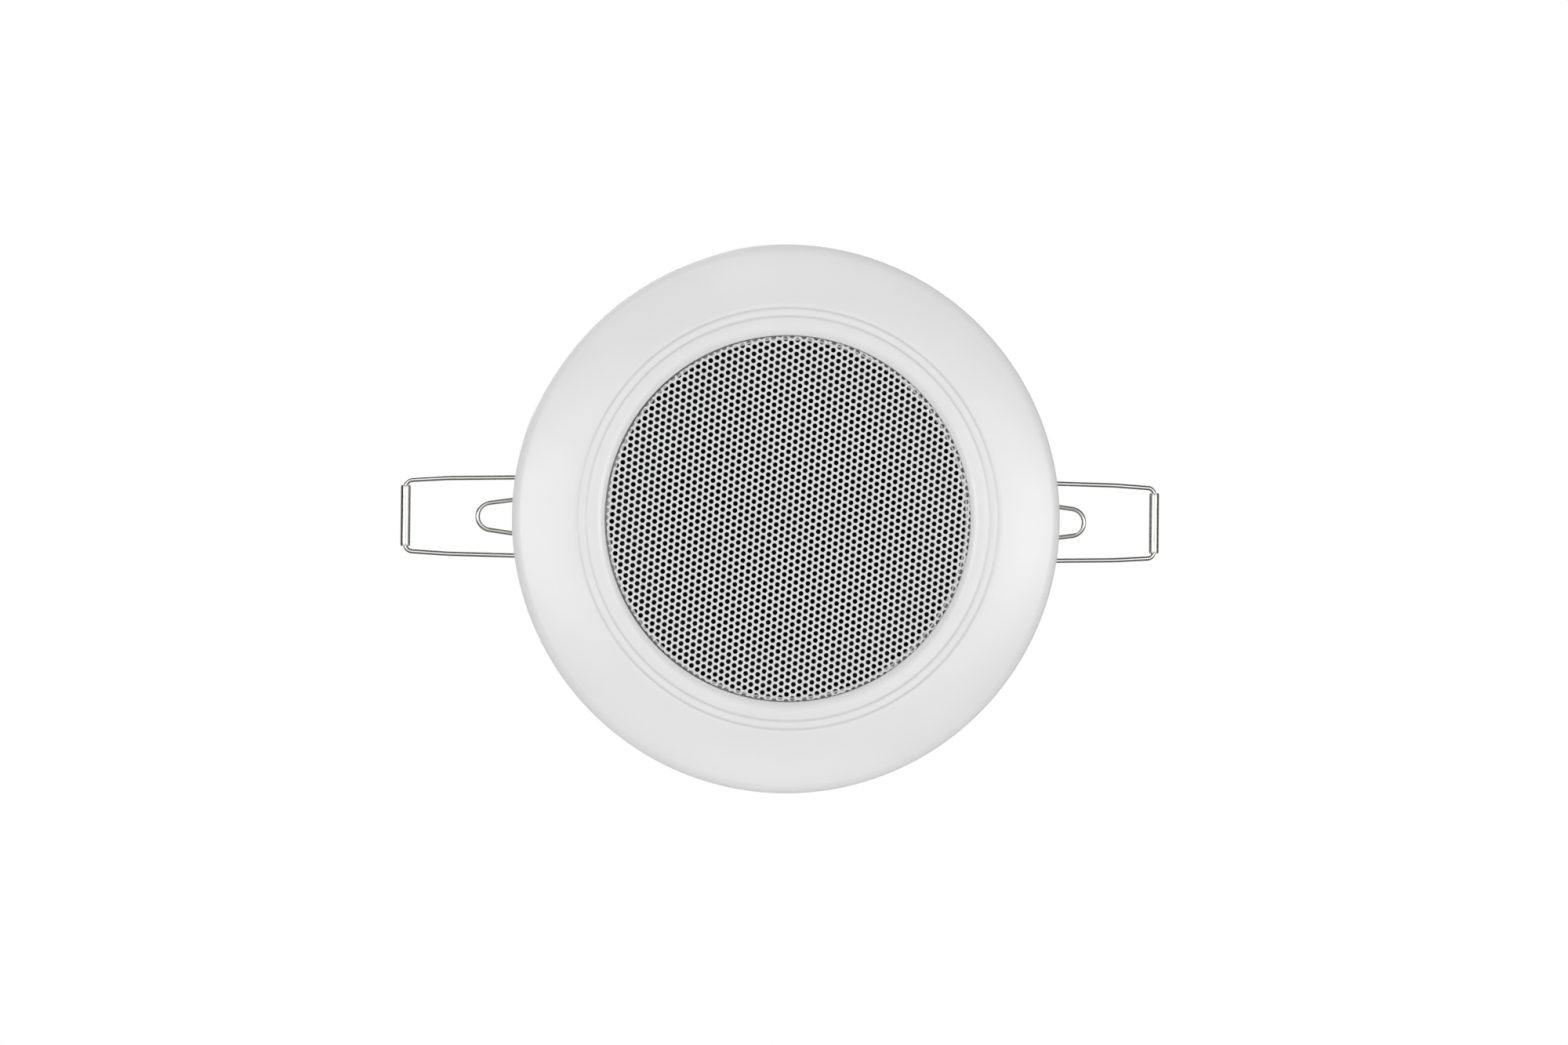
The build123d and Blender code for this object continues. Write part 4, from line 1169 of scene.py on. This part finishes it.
def make_magnet(size):
    """Top plate, ferrite ring and back plate with its pole."""
    top, ring, back, rear = low("top_plate").z, low("magnet").z, high("magnet").z, high("back_plate").z
    foot, pole, gap, bore = low("back_plate").z, size.pole_radius, size.gap_radius, size.magnet_bore
    plate, magnet = high("top_plate").x, high("magnet").x
    outlines = {
        "top_plate": [(gap, top), (plate, top), (plate, ring), (gap, ring)],
        "magnet": [(bore, ring), (magnet, ring), (magnet, back), (bore, back)],
        "back_plate": [(0, foot), (pole, foot), (pole, back), (plate, back), (plate, rear), (0, rear)],
    }
    for node, outline in outlines.items():
        slot = "ferrite" if node == "magnet" else "zinc_steel"
        line = eased(outline, size.plate_edge, 3, closed=outline[0][0] > 0)
        settle(lathe(f"{node}_ring", line, PLATE_SIDES), slot, SPEAKER, node)


def smooth_path(points):
    """Points along the smooth spline that has these control points."""
    curve = bpy.data.curves.new("path", "CURVE")
    curve.dimensions = "3D"
    curve.resolution_u = LEAD_STEPS
    spline = curve.splines.new("NURBS")
    spline.points.add(len(points) - 1)
    for knot, point in zip(spline.points, points):
        knot.co = (*point, 1)
    spline.order_u = 3
    spline.use_endpoint_u = True
    holder = new_object("path", curve)
    seen = holder.evaluated_get(bpy.context.evaluated_depsgraph_get())
    mesh = bpy.data.meshes.new_from_object(seen)
    path = [vertex.co.copy() for vertex in mesh.vertices]
    bpy.data.objects.remove(holder)
    bpy.data.meshes.remove(mesh)
    bpy.data.curves.remove(curve)
    return path


def make_terminals(size):
    """Fibre strip, two tags and the leads to the cone."""
    for node, slot in (("terminal_strip", "brown_fibre"), ("terminal_tags", "tinned_brass")):
        settle(softened(node, size.soft_edge), slot, SPEAKER, node)
    for side, sign in CLIP_SIDES:
        path = smooth_path([Vector((sign * x, y, z)) * MM for x, y, z in LEAD_ROUTE])
        lead = wire(f"{side}_tinsel_lead", path, size.lead_radius, LEAD_SIDES, "copper_braid")
        settle_across(lead, "copper_braid", "tinsel_leads")


def cross_recess(head, radius, top):
    """Cut a tapered cross into a screw head."""
    cross = []
    slot, reach = radius * RECESS_SLOT, radius * RECESS_REACH
    for quarter in range(4):
        spun = Matrix.Rotation(quarter * pi / 2, 2)
        cross += [spun @ Vector(point) for point in ((reach, -slot), (reach, slot), (slot, slot))]
    cutter = prism("recess", cross, Matrix.Translation((0, 0, top)), 2 * RECESS_DEPTH, RECESS_EDGE)
    for vertex in cutter.data.vertices:
        if vertex.co.z < top:
            vertex.co.xy *= RECESS_TAPER
    cut = head.modifiers.new("recess", "BOOLEAN")
    cut.operation, cut.solver, cut.object = "DIFFERENCE", "EXACT", cutter
    plain(head)
    bpy.data.objects.remove(cutter)


def make_fasteners(size, clip):
    """Pan-head screws of the driver and rivets of the clip brackets."""
    seat, radius, height = size.screw_seat, size.screw_radius, size.screw_height
    shank = high("driver_gasket").z - SHANK_BELOW_FRAME
    outline = [(0, shank), (radius / 2, shank), (radius / 2, seat), (radius, seat)]
    for share in shares(HEAD_STEPS):
        angle = pi / 2 * share
        rise = SCREW_WALL + (1 - SCREW_WALL) * sin(angle)
        outline.append((radius * cos(angle) ** SCREW_ROUNDNESS, seat + height * rise))
    head = lathe("screw", outline, SCREW_SIDES)
    cross_recess(head, radius, seat + height)
    moved(head, Matrix.Translation((size.screw_ring, 0, 0)) @ Matrix.Rotation(SCREW_TURN, 4, "Z"))
    screws = ring_of("driver_screw_heads", head, SCREW_COUNT, pi / 4, "nickel_steel")
    settle(screws, "nickel_steel", SPEAKER, "driver_screws")

    radius, rise = clip.rivet_radius, clip.rivet_rise
    half = (clip.rivet_x - clip.rivet_tail) / 2
    crown, tail = [(0, -half), (radius, 0)], [(0, half), (radius, 0)]
    for share in shares(HEAD_STEPS):
        angle = pi / 2 * share
        crown.append((radius * cos(angle), rise * (CROWN_WALL + (1 - CROWN_WALL) * sin(angle))))
        spread = TAIL_WALL + (1 - TAIL_WALL) * sin(angle) ** TAIL_ROUNDNESS
        tail.append((radius * cos(angle), -rise * spread))
    ends = []
    for side in (-1, 1):
        for x, outline in ((clip.rivet_x, crown), (clip.rivet_tail, tail)):
            spot = Matrix.Translation((x, side * clip.rivet_half, clip.rivet_z))
            ends.append(moved(lathe("rivet", outline, RIVET_SIDES), spot @ Matrix.Rotation(pi / 2, 4, "Y")))
    rivets = ring_of("bracket_rivet_heads", joined("rivet_pair", ends), 2, 0.0, "nickel_steel")
    settle(rivets, "nickel_steel", SPEAKER, "bracket_rivets")


def arm_path(size):
    """Centre line of half an outer loop on the right side, from the sleeve to the coil."""
    slope, tip_slope = size.arm_slope, size.arm_slope + size.tip_lift
    start_x = size.axis_x + size.coil_radius * sin(slope)
    start_z = size.axis_z - size.coil_radius * cos(slope)
    bend_x, end_x = size.axis_x + size.bend_reach, size.axis_x + size.end_reach
    bend_z = start_z + (bend_x - start_x) * tan(slope)
    end_z = bend_z + (end_x - bend_x) * tan(tip_slope)
    radius = size.corner_radius
    points = [Vector((end_x, 0, end_z))]
    for share in shares(CORNER_STEPS):
        x = end_x - radius + radius * cos(pi / 2 * share)
        y = size.end_half - radius + radius * sin(pi / 2 * share)
        points.append(Vector((x, y, end_z + (x - end_x) * tan(tip_slope))))
    start = Vector((start_x, size.root_half, start_z))
    corner = Vector((bend_x, size.bend_half, bend_z))
    inward, outward = [(point - corner).normalized() * ARM_EASE for point in (points[-1], start)]
    return points + bend(corner + inward, corner, corner + outward, BEND_STEPS) + [start]


def coil_path(size):
    """Centre line of one coil and half the inner loop, from the arm to the loop's tip."""
    sweep = pi + 2 * pi * size.coil_turns + size.arm_slope + size.loop_slope
    points = []
    for share in shares(COIL_STEPS * (size.coil_turns + 1)):
        angle = size.arm_slope - pi / 2 - sweep * share
        x, z = size.axis_x + size.coil_radius * cos(angle), size.axis_z + size.coil_radius * sin(angle)
        points.append(Vector((x, size.root_half - size.coil_length * share, z)))
    centre = size.axis_x + size.loop_reach - size.loop_radius
    taper = atan2(size.root_half - size.coil_length - size.loop_radius, centre - size.axis_x)
    for share in shares(LOOP_STEPS):
        angle = (pi / 2 - taper) * (1 - share)
        x = centre + size.loop_radius * cos(angle)
        z = size.axis_z + size.coil_radius - (x - size.axis_x) * tan(size.loop_slope)
        points.append(Vector((x, size.loop_radius * sin(angle), z)))
    return points


def rolled_sleeve(name, size, sign):
    """A sleeve of rolled sheet on the crossbar, with an open seam on its outer front."""
    centre = arm_path(size)[0]
    points = []
    for row, share in enumerate(shares(SLEEVE_ROWS)):
        wander = sum(sway * sin(rate * share + start) for sway, rate, start in SEAM_WAVES)
        trim = SLEEVE_TRIM if row in (0, SLEEVE_ROWS) else 0.0
        outside = [(turned, -trim) for turned in shares(SLEEVE_STEPS)]
        inside = [(turned, trim - size.sleeve_sheet) for turned in reversed(shares(SLEEVE_STEPS))]
        for turned, inset in outside + inside:
            angle = SEAM + wander + SEAM_GAP / 2 + (2 * pi - SEAM_GAP) * turned
            radius = size.sleeve_radius - SLEEVE_LAP * turned + inset
            x, z = centre.x + radius * cos(angle), centre.z + radius * sin(angle)
            points.append((sign * x, (2 * share - 1) * size.sleeve_half, z))
    count = 2 * (SLEEVE_STEPS + 1)
    faces = walls(SLEEVE_ROWS + 1, count, False)
    for first in (0, SLEEVE_ROWS * count):
        last = first + count - 1
        faces += [(first + s, first + s + 1, last - s - 1, last - s) for s in range(SLEEVE_STEPS)]
    return smooth(clean(from_points(name, points, faces)))


def make_clips(size):
    """Brackets, pins, wire springs and sleeves on both sides."""
    for side, sign in CLIP_SIDES:
        body, spring = f"{side}_clip", f"{side}_clip_spring"
        for node, slot in (("clip_bracket", "zinc_steel"), ("clip_pin", "nickel_steel")):
            name = f"{side}_{node}"
            settle(softened(name, BRACKET_EDGE), slot, SPEAKER, name)
        arm = [Matrix.Diagonal((sign, 1, 1)) @ point for point in arm_path(size)]
        loop = [Matrix.Diagonal((1, -1, 1)) @ point for point in arm[:0:-1]] + arm
        arms = wire(f"{side}_clip_arms", loop, size.wire_radius, ARM_SIDES, "nickel_wire")
        settle(arms, "nickel_wire", body, spring)
        for half, across in (("front", -1), ("rear", 1)):
            path = [Matrix.Diagonal((sign, across, 1)) @ point for point in coil_path(size)]
            coil = wire(f"{side}_clip_coil_{half}", path, size.wire_radius, COIL_SIDES, "nickel_wire")
            settle_across(coil, "nickel_wire", spring)
        sleeve = rolled_sleeve(f"{side}_clip_sleeve_rolled", size, sign)
        settle(sleeve, "nickel_steel", body, f"{side}_clip_sleeve")


def soft_lamp(name, place, sides, brightness):
    """A soft box that faces the speaker, as bright as a white sheet times its brightness."""
    light = bpy.data.lights.new(name, "AREA")
    light.shape = "RECTANGLE"
    light.size, light.size_y = sides
    light.energy = brightness * pi * sides[0] * sides[1]
    lamp = new_object(name, light)
    lamp.location = place
    lamp.rotation_euler = (-Vector(place)).to_track_quat("-Z", "Y").to_euler()
    lamp.visible_camera = False
    return lamp


def white_room(size):
    """A white board behind the speaker, with a dim tent and a strip of light before it.

    The camera sees the board's white all round, and reflections show each of them.
    """
    world = bpy.data.worlds.new("white_room")
    world.use_nodes = True
    bpy.context.scene.world = world
    build = NodeTree(world.node_tree)
    path = build.add("ShaderNodeLightPath").outputs
    heading = build.parts(build.out("ShaderNodeTexCoord", socket="Generated"))
    across, along = build.math("ABSOLUTE", heading["X"]), build.math("ABSOLUTE", heading["Y"])
    before = build.times(heading["Z"], -1.0)
    sides = build.plus(build.times(build.ramp(across, *STRIP_SIDE), 1 - STRIP_MIDDLE), STRIP_MIDDLE)
    strip = build.times(build.ramp(along, *STRIP_EDGE), build.ramp(before, *STRIP_FRONT), sides, size.strip)
    tent = build.times(build.ramp(before, *TENT_OUTSIDE), build.ramp(before, *TENT_INSIDE), size.tent)
    board = build.times(build.ramp(heading["Z"], *BOARD_EDGE), BOARD_WHITE)
    room = build.plus(build.times(build.ramp(heading["Z"], *ROOM_EDGE), ROOM_RISE), ROOM_DIM)
    mirrored = build.plus(strip, tent, board, room)
    behind = build.ramp(heading["Z"], *BOARD_GLOW)
    soft = build.out("ShaderNodeMix", {0: behind, 2: size.room, 3: size.board})
    reflected = build.math("MAXIMUM", path["Is Glossy Ray"], path["Is Transmission Ray"])
    lit = build.out("ShaderNodeMix", {0: reflected, 2: soft, 3: mirrored})
    seen = build.out("ShaderNodeMix", {0: path["Is Camera Ray"], 2: lit, 3: 1.0})
    surface = world.node_tree.nodes["Background"].inputs
    surface["Color"].default_value = (1, 1, 1, 1)
    build.feed(surface["Strength"], seen)


def pale_floor(size):
    """A floor under the speaker's face, which the camera sees from above only."""
    half, level = size / 2, low("bezel").z
    corners = [(-half, -half, level), (half, -half, level), (half, half, level), (-half, half, level)]
    floor = from_points("floor", corners, [(0, 1, 2, 3)])
    paper = bpy.data.materials.new("floor_paper")
    paper.use_nodes = True
    build = NodeTree(paper.node_tree)
    shader = paper.node_tree.nodes["Principled BSDF"]
    shader.inputs["Base Color"].default_value = (FLOOR_WHITE, FLOOR_WHITE, FLOOR_WHITE, 1)
    shader.inputs["Roughness"].default_value = FLOOR_ROUGHNESS
    clear = build.out("ShaderNodeBsdfTransparent")
    camera_ray = build.out("ShaderNodeLightPath", socket="Is Camera Ray")
    back = build.out("ShaderNodeNewGeometry", socket="Backfacing")
    shown = build.times(camera_ray, build.math("SUBTRACT", 1.0, back))
    mix = build.out("ShaderNodeMixShader", {0: shown, 1: clear, 2: shader.outputs[0]})
    build.feed(paper.node_tree.nodes["Material Output"].inputs["Surface"], mix)
    floor.data.materials.append(paper)


def face_camera(size):
    """A camera below the ceiling, a little to the left of the speaker's axis."""
    camera = bpy.data.cameras.new("camera")
    camera.sensor_width = SENSOR_WIDTH
    camera.lens = size.lens
    view = new_object("camera", camera)
    back = Vector((-tan(size.sideways), tan(size.upward), -1)).normalized()
    right = Vector((0, -1, 0)).cross(back).normalized()
    up = back.cross(right)
    tilted_right = right * cos(size.roll) + up * sin(size.roll)
    tilted_up = up * cos(size.roll) - right * sin(size.roll)
    turned = Matrix((tilted_right, tilted_up, back)).transposed().to_4x4()
    place = Vector((size.aim_x, size.aim_y, 0)) + back * size.distance
    view.matrix_world = Matrix.Translation(place) @ turned
    bpy.context.scene.camera = view


def make_stage(size):
    """Camera, floor, room light and soft boxes."""
    bpy.context.scene.view_settings.view_transform = "Standard"
    face_camera(size)
    pale_floor(size.floor_size)
    white_room(size)
    for side, (x, y, high_share, low_share) in SOFT_BOXES.items():
        place = (HIGH_BOX_AWAY * x, HIGH_BOX_AWAY * y, -HIGH_BOX_DROP)
        high_box = soft_lamp(f"{side}_box", place, HIGH_BOX_SIZE, size.lamp * high_share)
        place = (LOW_BOX_AWAY * x, LOW_BOX_AWAY * y, -LOW_BOX_DROP)
        low_box = soft_lamp(f"low_{side}_box", place, LOW_BOX_SIZE, size.low_lamp * low_share)
        high_box.visible_glossy = low_box.visible_glossy = False
    soft_lamp("rear_box", REAR_BOX_PLACE, REAR_BOX_SIZE, size.lamp * REAR_BOX_SHARE)


class SPEAKER_OT_make_bezel(Operator):
    """Make the white moulding: shell, collar, ribs and screw bosses"""

    bl_idname = "ceiling_speaker.make_bezel"
    bl_label = "Bezel"

    def execute(self, context):
        make_bezel(context.scene.speaker_bezel)
        return {"FINISHED"}


class SPEAKER_OT_make_grille(Operator):
    """Make the punched steel disc"""

    bl_idname = "ceiling_speaker.make_grille"
    bl_label = "Grille"

    def execute(self, context):
        make_grille(context.scene.speaker_grille)
        return {"FINISHED"}


class SPEAKER_OT_make_diaphragm(Operator):
    """Make the surround, cone, dust cap, spider and voice coil"""

    bl_idname = "ceiling_speaker.make_diaphragm"
    bl_label = "Diaphragm"

    def execute(self, context):
        make_diaphragm(context.scene.speaker_driver)
        return {"FINISHED"}


class SPEAKER_OT_make_driver_frame(Operator):
    """Make the stamped basket and its gasket"""

    bl_idname = "ceiling_speaker.make_driver_frame"
    bl_label = "Driver frame"

    def execute(self, context):
        make_driver_frame(context.scene.speaker_driver)
        return {"FINISHED"}


class SPEAKER_OT_make_magnet(Operator):
    """Make the magnet between its two plates"""

    bl_idname = "ceiling_speaker.make_magnet"
    bl_label = "Magnet"

    def execute(self, context):
        make_magnet(context.scene.speaker_driver)
        return {"FINISHED"}


class SPEAKER_OT_make_terminals(Operator):
    """Make the terminal strip, its tags and the leads to the cone"""

    bl_idname = "ceiling_speaker.make_terminals"
    bl_label = "Terminals"

    def execute(self, context):
        make_terminals(context.scene.speaker_driver)
        return {"FINISHED"}


class SPEAKER_OT_make_fasteners(Operator):
    """Make the driver's screws and the brackets' rivets"""

    bl_idname = "ceiling_speaker.make_fasteners"
    bl_label = "Screws and rivets"

    def execute(self, context):
        make_fasteners(context.scene.speaker_driver, context.scene.speaker_clips)
        return {"FINISHED"}


class SPEAKER_OT_make_clips(Operator):
    """Make both wire clips with their brackets, pins and sleeves"""

    bl_idname = "ceiling_speaker.make_clips"
    bl_label = "Spring clips"

    def execute(self, context):
        make_clips(context.scene.speaker_clips)
        return {"FINISHED"}


class SPEAKER_OT_make_stage(Operator):
    """Make the camera, the floor and the light"""

    bl_idname = "ceiling_speaker.make_stage"
    bl_label = "Stage"

    def execute(self, context):
        make_stage(context.scene.speaker_stage)
        return {"FINISHED"}


OPERATORS = (
    SPEAKER_OT_make_bezel,
    SPEAKER_OT_make_grille,
    SPEAKER_OT_make_diaphragm,
    SPEAKER_OT_make_driver_frame,
    SPEAKER_OT_make_magnet,
    SPEAKER_OT_make_terminals,
    SPEAKER_OT_make_fasteners,
    SPEAKER_OT_make_clips,
    SPEAKER_OT_make_stage,
)

SETTINGS = {
    "speaker_bezel": BezelSizes,
    "speaker_grille": GrilleSizes,
    "speaker_driver": DriverSizes,
    "speaker_clips": ClipSizes,
    "speaker_finishes": Finishes,
    "speaker_stage": StageSettings,
}


class SPEAKER_PT_pieces(Panel):
    """Lists the speaker's pieces and their sizes"""

    bl_idname = "SPEAKER_PT_pieces"
    bl_label = "In-ceiling speaker"
    bl_space_type = "VIEW_3D"
    bl_region_type = "UI"
    bl_category = "Speaker"

    def draw(self, context):
        for operator in OPERATORS:
            self.layout.operator(operator.bl_idname)
        for name, group in SETTINGS.items():
            box = self.layout.box()
            box.label(text=group.__doc__.strip())
            settings = getattr(context.scene, name)
            for label in group.__annotations__:
                box.prop(settings, label)


def register():
    """Register the settings, the operators and the panel."""
    for name, group in SETTINGS.items():
        bpy.utils.register_class(group)
        setattr(bpy.types.Scene, name, PointerProperty(type=group))
    for operator in OPERATORS:
        bpy.utils.register_class(operator)
    bpy.utils.register_class(SPEAKER_PT_pieces)


def unregister():
    """Take the panel, the operators and the settings away."""
    bpy.utils.unregister_class(SPEAKER_PT_pieces)
    for operator in reversed(OPERATORS):
        bpy.utils.unregister_class(operator)
    for name, group in SETTINGS.items():
        delattr(bpy.types.Scene, name)
        bpy.utils.unregister_class(group)


def main():
    """Build every piece and the stage."""
    register()
    bpy.ops.ceiling_speaker.make_bezel()
    bpy.ops.ceiling_speaker.make_grille()
    bpy.ops.ceiling_speaker.make_diaphragm()
    bpy.ops.ceiling_speaker.make_driver_frame()
    bpy.ops.ceiling_speaker.make_magnet()
    bpy.ops.ceiling_speaker.make_terminals()
    bpy.ops.ceiling_speaker.make_fasteners()
    bpy.ops.ceiling_speaker.make_clips()
    bpy.ops.ceiling_speaker.make_stage()


if __name__ == "__main__":
    main()
